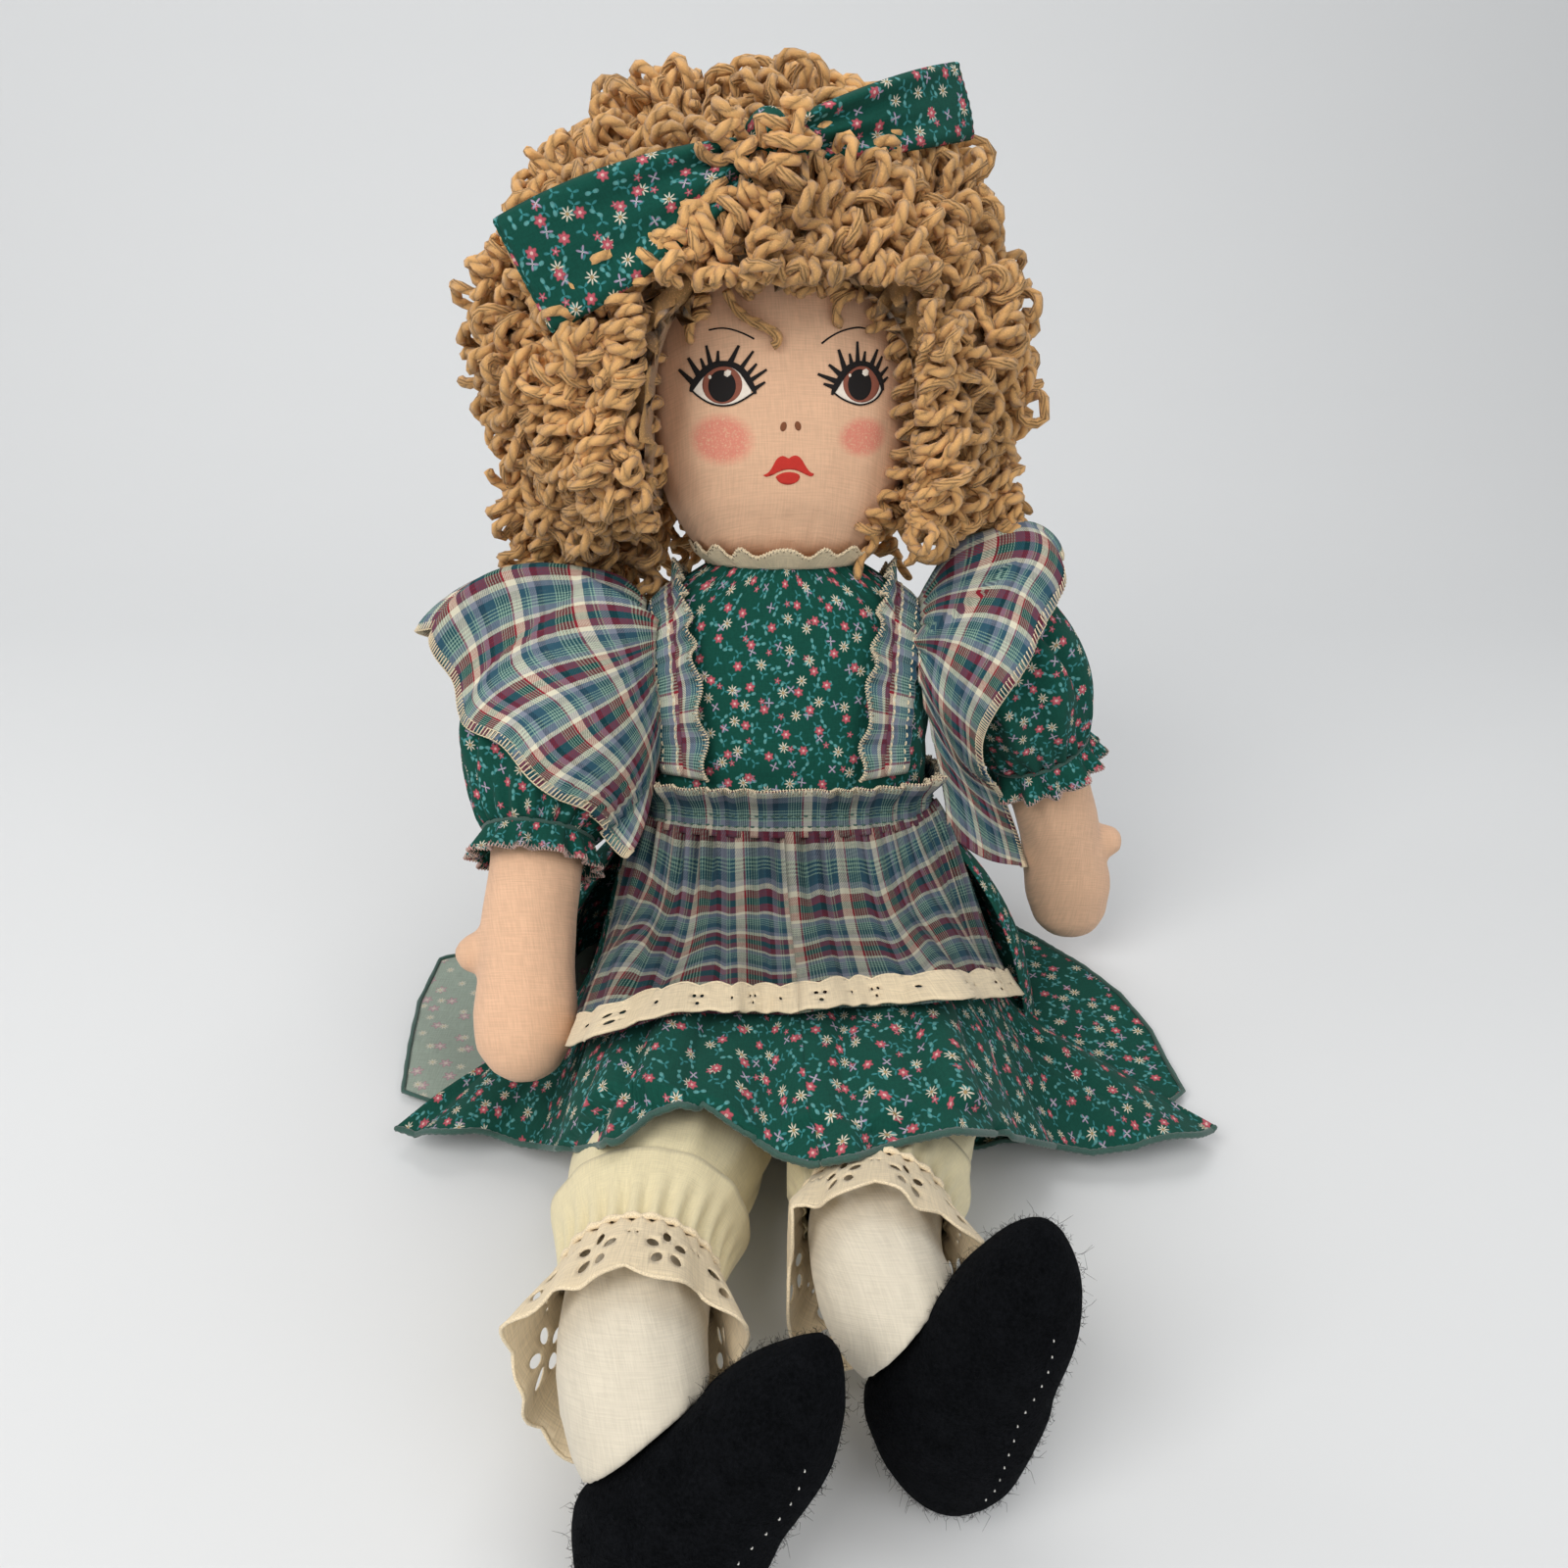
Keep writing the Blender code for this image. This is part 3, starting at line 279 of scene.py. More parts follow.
def shoulder(side):
    across = SIDES[side] * (shoulder_plane_x() + SHOULDER_SINK)
    return spine(ARMHOLE_SHARE)[0] + Vector((across, 0, SHOULDER_RISE[side]))


def limb_heading(side, swing, spread):
    swing = radians(swing)
    spread = radians(spread)
    down = -cos(swing) * cos(spread)
    return Vector((SIDES[side] * sin(spread), -sin(swing) * cos(spread), down))


@functools.cache
def arm_at(side, share):
    first, last = (limb_heading(side, *angles) for angles in ARM_ANGLES[side])
    top = shoulder(side)
    tip = Vector(HAND_TIP[side])
    return bent_path((top, top + first * ARM_HANDLE, tip - last * ARM_HANDLE, tip), share)


def framed(place, heading):
    """A place on a limb's middle line, its heading, and two ways square to it: across and to the front."""
    across = Vector((1, 0, 0)) - heading * heading.x
    across.normalize()
    return place, heading, across, heading.cross(across).normalized()


def foot_axes(side):
    toe, instep = (Vector(row) for row in FOOT_SHARES[side])
    toe.normalize()
    instep = (instep - toe * instep.dot(toe)).normalized()
    return toe, instep, toe.cross(instep)


def mouth():
    (u1, w1), (u2, w2) = SHOE_MOUTH_SHARES
    first = Vector((u1 * SHOE_LENGTH, w1 * SHOE_HEIGHT))
    second = Vector((u2 * SHOE_LENGTH, w2 * SHOE_HEIGHT))
    line = (second - first).normalized()
    return (first + second) / 2, Vector((-line.y, line.x))


def hip(side):
    front = spine(0.16)[0].y - torso_size(0.16)[1] - CLOTH - GAP * 2
    return Vector((SIDES[side] * HIP_HALF_SPACING, front - SLIP - THIGH_RADIUS, HIP_HEIGHT))


@functools.cache
def leg_at(side, share):
    toe, instep, _ = foot_axes(side)
    _, normal = mouth()
    last = -(toe * normal.x + instep * normal.y)
    top = hip(side)
    ankle = Vector(ANKLE[side])
    return bent_path((top, top - Vector((0, LEG_HANDLE, 0)), ankle - last * ANKLE_HANDLE, ankle), share)


def head_centre():
    return spine(1)[0] + HEAD_UP * (HEAD_HALF[2] - NECK_SINK)


def lap_height(x, reach):
    foot = LAP_FOOT_X["left" if x > 0 else "right"]
    fall = smooth((abs(x) - LAP_HALF_WIDTH) / (foot - LAP_HALF_WIDTH))
    dip = exp(-((x / (HIP_HALF_SPACING * 0.35)) ** 2)) * reach**3
    return LAP_HEIGHT + (SIDE_HEIGHT - LAP_HEIGHT) * fall - LAP_HEIGHT * 0.10 * dip


@functools.cache
def skirt_rounded(u, v):
    waist = outside_torso(90 - 93 * u, WAIST_SHARE, GAP * 2 + CLOTH * 1.5)
    hem_x = SKIRT_SHIFT_X + u * SKIRT_HALF_SPREAD
    hem_y = HEM_FRONT_Y + (HEM_SIDE_Y - HEM_FRONT_Y) * abs(u) ** 1.6
    x = waist.x + (hem_x - waist.x) * v**0.8
    y = waist.y + (hem_y - waist.y) * v
    lap = lap_height(x, v)
    fold = 0.0050 * v**1.2 * (0.5 + 0.5 * cos(pi * 7 * u))
    return Vector((x, y, lap + (waist.z - lap) * (1 - v) ** 8 + fold))


def skirt_base(u, v):
    """The middle of the skirt's cloth: u from -1 at the doll's right side seam to 1, v from waist to hem."""
    return skirt_rounded(round(u, 5), round(v, 5))


@functools.cache
def crest_share(x):
    low = ARMHOLE_SHARE
    high = 1.0
    for _ in range(30):
        middle = (low + high) / 2
        low, high = (middle, high) if torso_size(middle)[0] > x else (low, middle)
    return low


def over_shoulder(side, x, t, distance):
    """A point on a path up the chest, over the shoulder and down the back, t from 0 to 1."""
    foot = WAIST_SHARE + (GAP * 6 + WAISTBAND_WIDTH) / TORSO_LENGTH
    top = crest_share(round(x, 6))
    share = foot + (top - foot) * (1 - (1 - 2 * t) ** 2)
    ratio = min(x / torso_size(share)[0], 1)
    angle = degrees(acos(min(ratio ** (TORSO_POWER / 2), 1)))
    angle = angle if t < 0.5 else -angle
    return outside_torso(angle if side == "left" else 180 - angle, share, distance)


def strap_x(t):
    return STRAP_X - STRAP_WIDTH * 0.6 * abs(2 * t - 1) ** 1.5


def sleeve_puff(t):
    return SLEEVE_PUFF * ((sin(pi * t**1.5) ** 0.8 if 0 < t < 1 else 0) + 0.35 * (1 - t))


# Meshes
def mesh_object(name, points, faces, flat=None):
    """A new object from points and faces; flat holds each point's place on the cloth, in metres."""
    mesh = bpy.data.meshes.new(name)
    mesh.from_pydata([tuple(p) for p in points], [], faces)
    obj = bpy.data.objects.new(name, mesh)
    bpy.context.scene.collection.objects.link(obj)
    if flat:
        layer = mesh.uv_layers.new(name="UVMap")
        places = [c for loop in mesh.loops for c in flat[loop.vertex_index]]
        layer.data.foreach_set("uv", places)
    mesh.shade_smooth()
    return obj


def activate(obj):
    bpy.ops.object.select_all(action="DESELECT")
    obj.select_set(True)
    bpy.context.view_layer.objects.active = obj


def apply_modifier(obj, kind, **settings):
    activate(obj)
    modifier = obj.modifiers.new(kind.title(), kind)
    for key, value in settings.items():
        setattr(modifier, key, value)
    bpy.ops.object.modifier_apply(modifier=modifier.name)


def welded(obj, distance, outwards=False):
    """Joins a mesh's points that lie closer than this, and may turn its faces outwards."""
    activate(obj)
    bpy.ops.object.mode_set(mode="EDIT")
    bpy.ops.mesh.select_all(action="SELECT")
    bpy.ops.mesh.remove_doubles(threshold=distance)
    if outwards:
        bpy.ops.mesh.normals_make_consistent(inside=False)
    bpy.ops.object.mode_set(mode="OBJECT")


def coated(obj, look):
    obj.data.materials.clear()
    obj.data.materials.append(finish(look))
    return obj


def finished(obj, look, body, slot, *nodes):
    """Gives a piece its material, the body that it rides on if it isn't blended, its slot and its nodes."""
    coated(obj, look)
    if body:
        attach(obj, body)
    if nodes:
        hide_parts(*nodes)
    return obj


TAPER_SHARE = 0.55
PLY_SHARE = 0.13


def tube(name, paths, radius, sides=6, lobes=0, twist=None, taper=True):
    """Tubes along lists of points; lobes makes the section plied, and it turns once in each twist metres."""
    points = []
    faces = []
    flat = []
    for path in paths:
        normal = None
        along = 0.0
        base = len(points)
        for i, here in enumerate(path):
            heading = (path[min(i + 1, len(path) - 1)] - path[max(i - 1, 0)]).normalized()
            if normal is None:
                normal = heading.orthogonal()
            normal = (normal - heading * normal.dot(heading)).normalized()
            other = heading.cross(normal)
            along += (here - path[i - 1]).length if i else 0
            size = radius * (TAPER_SHARE if taper and i in (0, len(path) - 1) else 1)
            for k in range(sides):
                angle = tau * k / sides
                lobe = 1
                if lobes:
                    lobe += PLY_SHARE * cos(lobes * (angle - tau * along / twist / lobes))
                points.append(here + way_round(normal, other, angle) * size * lobe)
                flat.append((along, k / sides * tau * radius))
        for i in range(len(path) - 1):
            for k in range(sides):
                a = base + i * sides
                b = a + (k + 1) % sides
                faces.append((a + k, b, b + sides, a + sides + k))
        faces.append(tuple(base + k for k in reversed(range(sides))))
        top = base + (len(path) - 1) * sides
        faces.append(tuple(top + k for k in range(sides)))
    return mesh_object(name, points, faces, flat)


def cord(name, paths, radius, twist):
    """Two-ply threads along lists of points."""
    return tube(name, paths, radius, 6, 2, twist)


def stuffed(name, node, voxel, rounds):
    """A stuffed form from a solid: its corners rounded off and its faces made fine."""
    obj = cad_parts[node].copy()
    obj.data = obj.data.copy()
    obj.name = name
    for key in list(obj.keys()):
        del obj[key]
    bpy.context.scene.collection.objects.link(obj)
    obj.hide_render = False
    obj.parent = None
    welded(obj, 1e-6)
    apply_modifier(obj, "REMESH", mode="VOXEL", voxel_size=voxel)
    apply_modifier(obj, "SMOOTH", factor=0.5, iterations=rounds)
    obj.data.shade_smooth()
    return obj


def moved_along_normals(obj, amount):
    """Moves each point of a mesh along its normal, by amount(place)."""
    mesh = obj.data
    normals = [vertex.normal.copy() for vertex in mesh.vertices]
    for vertex, normal in zip(mesh.vertices, normals):
        vertex.co += normal * amount(vertex.co)
    mesh.update()


def dented(obj, size, depth, seed):
    """Uneven stuffing: each point moved along its normal by slow noise."""
    moved_along_normals(obj, lambda p: noise.noise(p / size + Vector((seed, seed, 0))) * depth)


def pushed(obj, path, width, depth):
    """A sewn seam: the stuffing is drawn in along a path."""
    def amount(p):
        near = min((p - q).length_squared for q in path) ** 0.5
        return -depth * (1 - near / width) ** 1.5 if near < width else 0

    moved_along_normals(obj, amount)


# Materials
class Finish:
    """Builds one material's nodes from short calls."""

    def __init__(self, name, roughness=0.9, sheen=0.0, specular=0.25):
        self.material = bpy.data.materials.new(name)
        self.material.use_nodes = True
        self.tree = self.material.node_tree
        self.shader = self.tree.nodes["Principled BSDF"]
        self.shader.inputs["Roughness"].default_value = roughness
        self.shader.inputs["Specular IOR Level"].default_value = specular
        self.shader.inputs["Sheen Weight"].default_value = sheen
        self.shader.inputs["Sheen Roughness"].default_value = 0.6
        self.height = None
        coordinates = self.tree.nodes.new("ShaderNodeTexCoord")
        self.where = coordinates.outputs["Object"]
        self.flat = coordinates.outputs["UV"]

    def put(self, socket, value):
        if isinstance(value, bpy.types.NodeSocket):
            self.tree.links.new(value, socket)
        elif value is not None:
            socket.default_value = value

    def node(self, kind, inputs, **settings):
        node = self.tree.nodes.new("ShaderNode" + kind)
        for key, value in settings.items():
            setattr(node, key, value)
        for key, value in inputs.items():
            self.put(node.inputs[key], value)
        return node

    def math(self, operation, a, b=None, c=None, clamp=False):
        return self.node("Math", {0: a, 1: b, 2: c}, operation=operation, use_clamp=clamp).outputs[0]

    def times(self, a, b):
        return self.math("MULTIPLY", a, b)

    def plus(self, a, b):
        return self.math("ADD", a, b)

    def vector(self, operation, a, b=None, output=0):
        return self.node("VectorMath", {0: a, 1: b}, operation=operation).outputs[output]

    def place(self, vector, scale=(1, 1, 1), move=(0, 0, 0), turn=0.0):
        return self.node(
            "Mapping", {"Vector": vector, "Scale": scale, "Location": move, "Rotation": (0, 0, turn)}
        ).outputs[0]

    def mix(self, factor, a, b, kind="MIX"):
        node = self.tree.nodes.new("ShaderNodeMix")
        node.data_type = "RGBA"
        node.blend_type = kind
        self.put(node.inputs[0], factor)
        for socket, value in ((node.inputs[6], a), (node.inputs[7], b)):
            self.put(socket, (*value, 1.0) if isinstance(value, (tuple, list)) and len(value) == 3 else value)
        return node.outputs[2]

    def noise(self, vector, scale, detail=2.0, rough=0.5):
        return self.node(
            "TexNoise", {"Vector": vector, "Scale": scale, "Detail": detail, "Roughness": rough}
        ).outputs[0]

    def step(self, value, low, high, out_low=0.0, out_high=1.0):
        return self.node(
            "MapRange", {0: value, 1: low, 2: high, 3: out_low, 4: out_high}, clamp=True
        ).outputs[0]

    def split(self, vector):
        return self.node("SeparateXYZ", {0: vector}).outputs

    def join(self, x, y, z=0.0):
        return self.node("CombineXYZ", {0: x, 1: y, 2: z}).outputs[0]

    def slanted(self):
        """Places flattened at a slant, so that threads show on faces that look any way."""
        x, y, z = self.split(self.where)[:3]
        return self.join(self.plus(x, self.times(y, 0.31)), self.plus(z, self.times(y, 0.77)))

    def weave(self, vector, thread, strength=0.35):
        """Uneven threads both ways; gives the height and keeps it for the bump."""
        per = 1 / thread
        first = self.noise(self.place(vector, (per, per * 0.06, per)), 1.0, 1.0)
        second = self.noise(self.place(vector, (per * 0.06, per, per * 0.06)), 1.0, 1.0)
        height = self.math("MULTIPLY", self.math("ADD", first, second), 0.5)
        self.bump(height, thread * 0.9, strength)
        return height

    def bump(self, height, distance, strength):
        node = self.node("Bump", {"Height": height, "Distance": distance, "Strength": strength})
        if self.height:
            self.put(node.inputs["Normal"], self.height)
        self.height = node.outputs[0]

    def done(self, colour):
        if isinstance(colour, (tuple, list)):
            colour = (*colour[:3], 1.0)
        self.put(self.shader.inputs["Base Color"], colour)
        if self.height:
            self.put(self.shader.inputs["Normal"], self.height)
        return self.material


FINISHES = {}


def finish(name):
    """Each material is made the first time that a piece asks for it."""
    if name not in FINISHES:
        FINISHES[name] = MAKERS[name]()
    return FINISHES[name]


def tint(colour, amount):
    return tuple(min(max(c * amount, 0), 1) for c in colour)


def plain_cotton(name, colour, thread, shade, on_flat=False):
    m = Finish(name, 0.92, 0.15)
    threads = m.weave(m.flat if on_flat else m.slanted(), thread)
    slow = m.noise(m.where, 38.0, 3.0)
    m.bump(slow, 0.0012, 0.25)
    dark = m.mix(m.step(threads, 0.38, 0.62), tint(colour, shade), colour)
    return m, m.mix(m.step(slow, 0.35, 0.7, 0.0, 0.35), dark, tint(colour, shade * 0.96))


def cotton_finish(name, colour, thread, shade, on_flat=False):
    m, colour = plain_cotton(name, tuple(getattr(colours(), colour)), thread, shade, on_flat)
    return m.done(colour)


BLUSH = (0.70, 0.205, 0.150)
BLUSHES = []


def face_finish():
    """The face's cotton, with a speckled blush on each cheek."""
    m, colour = plain_cotton("face_cotton", tuple(colours().skin), 0.00050, 0.84)
    for centre, radius in BLUSHES:
        away = m.vector("SUBTRACT", m.where, centre)
        away = m.vector("MULTIPLY", away, (1 / radius, 1 / radius, 1.35 / radius))
        far = m.vector("LENGTH", away, output=1)
        speckle = m.noise(m.where, 1500.0, 2.0, 0.7)
        amount = m.times(m.step(far, 1.0, 0.62), m.step(speckle, 0.28, 0.50))
        colour = m.mix(m.times(amount, 0.82), colour, BLUSH)
    return m.done(colour)


def ink_finish(name, colour):
    m = Finish(name, 0.85, 0.05)
    return m.done(m.mix(m.noise(m.slanted(), 700.0), tint(colour, 0.90), tint(colour, 1.12)))


def thread_finish(name, colour):
    m = Finish(name, 0.75, 0.2, 0.35)
    fibres = m.noise(m.where, 2600.0, 2.0)
    m.bump(fibres, 0.0002, 0.5)
    return m.done(m.mix(m.step(fibres, 0.3, 0.7), tint(colour, 0.72), tint(colour, 1.08)))


def yarn_finish():
    """Two-ply wool: slanting plies, loose fibres and a slow change of shade from strand to strand."""
    colour = tuple(colours().yarn)
    m = Finish("wool_yarn", 0.95, 0.22, 0.12)
    along, around = m.split(m.flat)[:2]
    lay = m.plus(m.times(along, 1 / 0.0056), m.times(around, 1 / 0.0069))
    ply = m.math("ABSOLUTE", m.math("SINE", m.times(lay, pi)))
    fibre = m.noise(m.place(m.join(lay, around), (3.0, 1500.0, 1.0)), 1.0, 3.0, 0.6)
    fuzz_and_painted_highlight = m.noise(m.where, 1700.0, 3.0, 0.7)
    m.bump(ply, 0.0010, 0.9)
    m.bump(m.plus(fibre, fuzz_and_painted_highlight), 0.0005, 0.6)
    base = m.mix(m.step(m.noise(m.where, 26.0, 2.0), 0.3, 0.7), tint(colour, 0.72), tint(colour, 1.22))
    # Painted shade: the grooves between the plies are darkened towards 0.42 of the yarn's colour
    ply_groove_painted_shade = m.math("POWER", m.math("SUBTRACT", 1.0, ply), 3.0)
    base = m.mix(m.times(ply_groove_painted_shade, 0.8), base, tint(colour, 0.42))
    # Painted highlight: where the fuzz stands highest the yarn is lightened to 1.45 times its colour
    return m.done(m.mix(m.step(fuzz_and_painted_highlight, 0.55, 0.75), base, tint(colour, 1.45)))


def felt_finish():
    m = Finish("black_felt", 1.0, 0.10, 0.03)
    m.shader.inputs["Sheen Tint"].default_value = (0.10, 0.11, 0.13, 1)
    fine = m.noise(m.where, 1100.0, 4.0, 0.7)
    coarse = m.noise(m.where, 190.0, 2.0)
    m.bump(fine, 0.0012, 0.8)
    m.bump(coarse, 0.0015, 0.5)
    # Painted sheen: where the bump stands highest the black felt is lightened to a blue-grey
    high = m.step(m.plus(fine, m.times(coarse, 0.4)), 0.55, 0.95)
    return m.done(m.mix(high, tuple(colours().felt), (0.0065, 0.0070, 0.0085)))


# The checks' threads, and where each band of them starts in a repeat of 28
NAVY = (0.010, 0.034, 0.060)
SLATE = (0.030, 0.090, 0.135)
WINE = (0.260, 0.014, 0.030)
GREEN = (0.002, 0.052, 0.048)
LAVENDER = (0.210, 0.235, 0.310)
CREAM = (0.720, 0.680, 0.540)
MINT = (0.270, 0.420, 0.350)
BANDS = 28
WARP = (
    (0.0, WINE), (3.6, GREEN), (7.2, WINE), (11.2, CREAM), (12.8, LAVENDER), (15.5, MINT), (16.1, SLATE),
    (16.8, MINT), (17.4, SLATE), (18.1, MINT), (18.7, SLATE), (19.4, MINT), (19.9, SLATE), (23.4, LAVENDER),
    (25.6, CREAM),
)
WEFT = (
    (0.0, CREAM), (4.4, WINE), (5.4, MINT), (6.0, GREEN), (6.7, MINT), (7.3, GREEN), (8.0, MINT), (8.6, GREEN),
    (9.3, MINT), (9.9, GREEN), (10.6, MINT), (11.2, GREEN), (11.9, MINT), (12.4, SLATE), (17.6, NAVY),
    (20.4, LAVENDER), (23.4, MINT), (23.9, SLATE), (24.7, MINT), (25.2, SLATE),
)
WARP_SHIFT = 0.31


def bands_at(m, value, shift, bands):
    part = m.math("FRACT", m.plus(m.math("DIVIDE", value, sizes().plaid_repeat), shift))
    ramp = m.node("ValToRGB", {0: part})
    ramp.color_ramp.interpolation = "CONSTANT"
    points = ramp.color_ramp.elements
    points.remove(points[1])
    for i, (start, colour) in enumerate(bands):
        point = points.new(start / BANDS) if i else points[0]
        point.position = start / BANDS
        point.color = (*colour, 1)
    return ramp.outputs[0]


def plaid_finish(name, shade):
    """Madras checks: wine and green bands one way, cream and pin lines the other, showing by turns."""
    m = Finish(name, 0.95, 0.03, 0.12)
    x, y = m.split(m.flat)[:2]
    weft, warp = bands_at(m, x, 0.0, WEFT), bands_at(m, y, WARP_SHIFT, WARP)
    threads = m.weave(m.flat, 0.00042, 0.4)
    diagonal = m.math("SINE", m.times(m.plus(x, y), tau / 0.0011))
    turns = m.step(m.plus(m.times(diagonal, 0.18), threads), 0.30, 0.70, 0.25, 0.75)
    cloth = m.mix(turns, weft, warp)
    cloth = m.mix(m.step(threads, 0.58, 0.75, 0.0, 0.12), cloth, CREAM)
    # The whole cloth is multiplied by shade; below 1 this is painted shade, as on the apron and its band
    return m.done(m.mix(1.0, cloth, (shade, shade, shade * 0.97), "MULTIPLY"))


TEAL = (0.045, 0.235, 0.240)
# Each kind of flower: size, spacing, petals, colour, heart, share of cells that have one, shift, petals' depth
FLOWERS = (
    (0.0022, 0.0060, 3, TEAL, TEAL, 0.80, 0.37, 0.80),
    (0.0023, 0.0068, 2, (0.120, 0.360, 0.350), TEAL, 0.60, 1.91, 0.82),
    (0.0015, 0.0118, 5, (0.500, 0.110, 0.150), (0.60, 0.30, 0.32), 0.62, 7.19, 0.32),
    (0.0021, 0.0116, 4, (0.400, 0.330, 0.460), (0.62, 0.58, 0.60), 0.66, 2.73, 0.62),
    (0.0024, 0.0116, 8, (0.780, 0.720, 0.580), (0.45, 0.30, 0.14), 0.72, 4.13, 0.42),
    (0.0021, 0.0121, 6, (0.560, 0.110, 0.145), (0.80, 0.50, 0.46), 0.80, 5.57, 0.16),
)
FAINT_FLOWERS = (
    (0.0027, 0.0108, 6, (0.42, 0.30, 0.31), (0.50, 0.44, 0.38), 0.85, 5.57, 0.22),
    (0.0021, 0.0092, 8, (0.52, 0.51, 0.42), (0.46, 0.40, 0.26), 0.72, 4.13, 0.25),
)


def flower_layer(m, cloth, size, spacing, petals, colour, heart, keep, shift, depth):
    """One kind of small flower, scattered over the cloth; gives the cloth with it."""
    vector = m.place(m.flat, (1 / spacing, 1 / spacing, 1), (shift, shift * 1.7, 0), shift)
    inputs = {"Vector": vector, "Scale": 1.0, "Randomness": 0.62}
    cells = m.node("TexVoronoi", inputs, voronoi_dimensions="2D")
    offset = m.vector("SUBTRACT", vector, cells.outputs["Position"])
    x, y = m.split(offset)[:2]
    random_value = m.split(cells.outputs["Color"])[0]
    far = m.math("SQRT", m.plus(m.times(x, x), m.times(y, y)))
    angle = m.plus(m.math("ARCTAN2", y, x), m.times(random_value, tau))
    lobe = m.math("COSINE", m.times(angle, float(petals)))
    edge = m.times(m.plus(m.times(lobe, depth), 1 - depth), size / spacing)
    within = m.math("SUBTRACT", edge, far)
    shown = m.times(m.step(within, -0.010, 0.012), m.math("GREATER_THAN", random_value, 1 - keep))
    petal = m.mix(m.step(within, 0.0, size / spacing * 0.35), tint(colour, 0.62), colour)
    whole = m.mix(m.step(far, size / spacing * 0.30, size / spacing * 0.20), petal, heart)
    return m.mix(shown, cloth, whole)


def floral_finish():
    """Calico: small generic flowers and leaves scattered on a deep green ground."""
    ground = tuple(colours().green)
    m = Finish("flowered_cotton", 0.95, 0.03, 0.12)
    cloth = m.mix(m.noise(m.flat, 900.0), tint(ground, 0.8), tint(ground, 1.2))
    for kind in FLOWERS:
        cloth = flower_layer(m, cloth, *kind)
    threads = m.weave(m.flat, 0.00036, 0.3)
    return m.done(m.mix(m.step(threads, 0.30, 0.60, 0.40, 0.0), cloth, tint(ground, 0.5)))


def wrong_side_finish():
    """The back of the flowered cotton, where the print shows through only faintly."""
    m, colour = plain_cotton("cotton_wrong_side", (0.30, 0.36, 0.30), 0.00036, 0.80, True)
    for kind in FAINT_FLOWERS:
        colour = flower_layer(m, colour, *kind)
    return m.done(colour)


MAKERS = {
    "skin": lambda: cotton_finish("skin_cotton", "skin", 0.00050, 0.84),
    "face": face_finish,
    "stocking": lambda: cotton_finish("stocking_cotton", "stocking", 0.00042, 0.86),
    "bloomers": lambda: cotton_finish("bloomer_cotton", "cream", 0.00038, 0.86, True),
    "lace": lambda: cotton_finish("eyelet_cotton", "ivory", 0.00050, 0.78, True),
    "yarn": yarn_finish,
    "felt": felt_finish,
    "plaid": lambda: plaid_finish("madras_check", 1.0),
    # The apron and its band: the same madras with painted shade, its colour multiplied by 0.57
    "plaid_painted_shade": lambda: plaid_finish("madras_check_lap", 0.57),
    "floral": floral_finish,
    "wrong_side": wrong_side_finish,
    "black_ink": lambda: ink_finish("eye_black", (0.010, 0.008, 0.008)),
    "brown_ink": lambda: ink_finish("iris_brown", (0.250, 0.082, 0.052)),
    "brow_ink": lambda: ink_finish("brow_brown", (0.200, 0.070, 0.030)),
    "red_ink": lambda: ink_finish("lip_red", (0.530, 0.032, 0.022)),
    "white_ink": lambda: ink_finish("eye_white", (0.820, 0.740, 0.640)),
    "edging": lambda: thread_finish("edging_thread", tuple(colours().ivory)),
    "white_thread": lambda: thread_finish("shoe_thread", (0.80, 0.79, 0.74)),
    "hem_thread": lambda: thread_finish("hem_thread", (0.030, 0.090, 0.070)),
    "pink_thread": lambda: thread_finish("cuff_thread", (0.62, 0.42, 0.36)),
}


# Cloth pieces keep the size that they were cut to
CUTS = {}


def row_length(points):
    return sum((b - a).length for a, b in zip(points, points[1:]))


def lengths_along(points):
    """How far along a line of points each of them lies."""
    lengths = [0.0]
    for a, b in zip(points, points[1:]):
        lengths.append(lengths[-1] + (b - a).length)
    return lengths


UV_ROW_SHARE = 0.7


def panel(name, at, wide, long, closed=False, thickness=None, turned=False, measured=False):
    """A cloth through at(s, t), s and t from 0 to 1; closed joins its two sides. Its UV map is in metres."""
    rows = [[at(i / wide, j / long) for i in range(wide + 1)] for j in range(long + 1)]
    across = max(row_length(row) for row in rows)
    down = max(row_length(column) for column in list(zip(*rows))[:: max(wide // 12, 1)])
    widths = lengths_along(rows[int(long * UV_ROW_SHARE)])
    depths = [[b / long * down for b in range(long + 1)] for _ in range(wide + 1)]
    if measured:
        depths = [lengths_along(column) for column in zip(*rows)]
    count = wide if closed else wide + 1
    faces = []
    places = []
    for j in range(long):
        for i in range(wide):
            a, b, right = j * count, (j + 1) * count, (i + 1) % count
            faces.append([a + i, a + right, b + right, b + i])
            for c, d in ((i, j), (i + 1, j), (i + 1, j + 1), (i, j + 1)):
                place = (widths[c] * across / widths[-1], depths[c][d])
                places.extend(reversed(place) if turned else place)
    obj = mesh_object(name, [p for row in rows for p in row[:count]], faces)
    obj.data.uv_layers.new(name="UVMap").data.foreach_set("uv", places)
    CUTS[name] = (across, down, sum(face.area for face in obj.data.polygons))
    apply_modifier(obj, "SOLIDIFY", thickness=thickness or sizes().sheet, offset=0)
    return obj


LEAST_AREA_SHARE = 0.3


def declare(obj):
    """Writes down a sheet's flat size: its width is the longest row or its area over its length down."""
    across, down, area = CUTS[obj.name]
    across = max(across, area / down)
    area = max(min(area, across * down), across * down * LEAST_AREA_SHARE)
    return obj


# How far a machine edging stands off the cloth, and how far past its edge it goes
LOOP_LIFT = 0.00055
LOOP_PAST = 0.0003


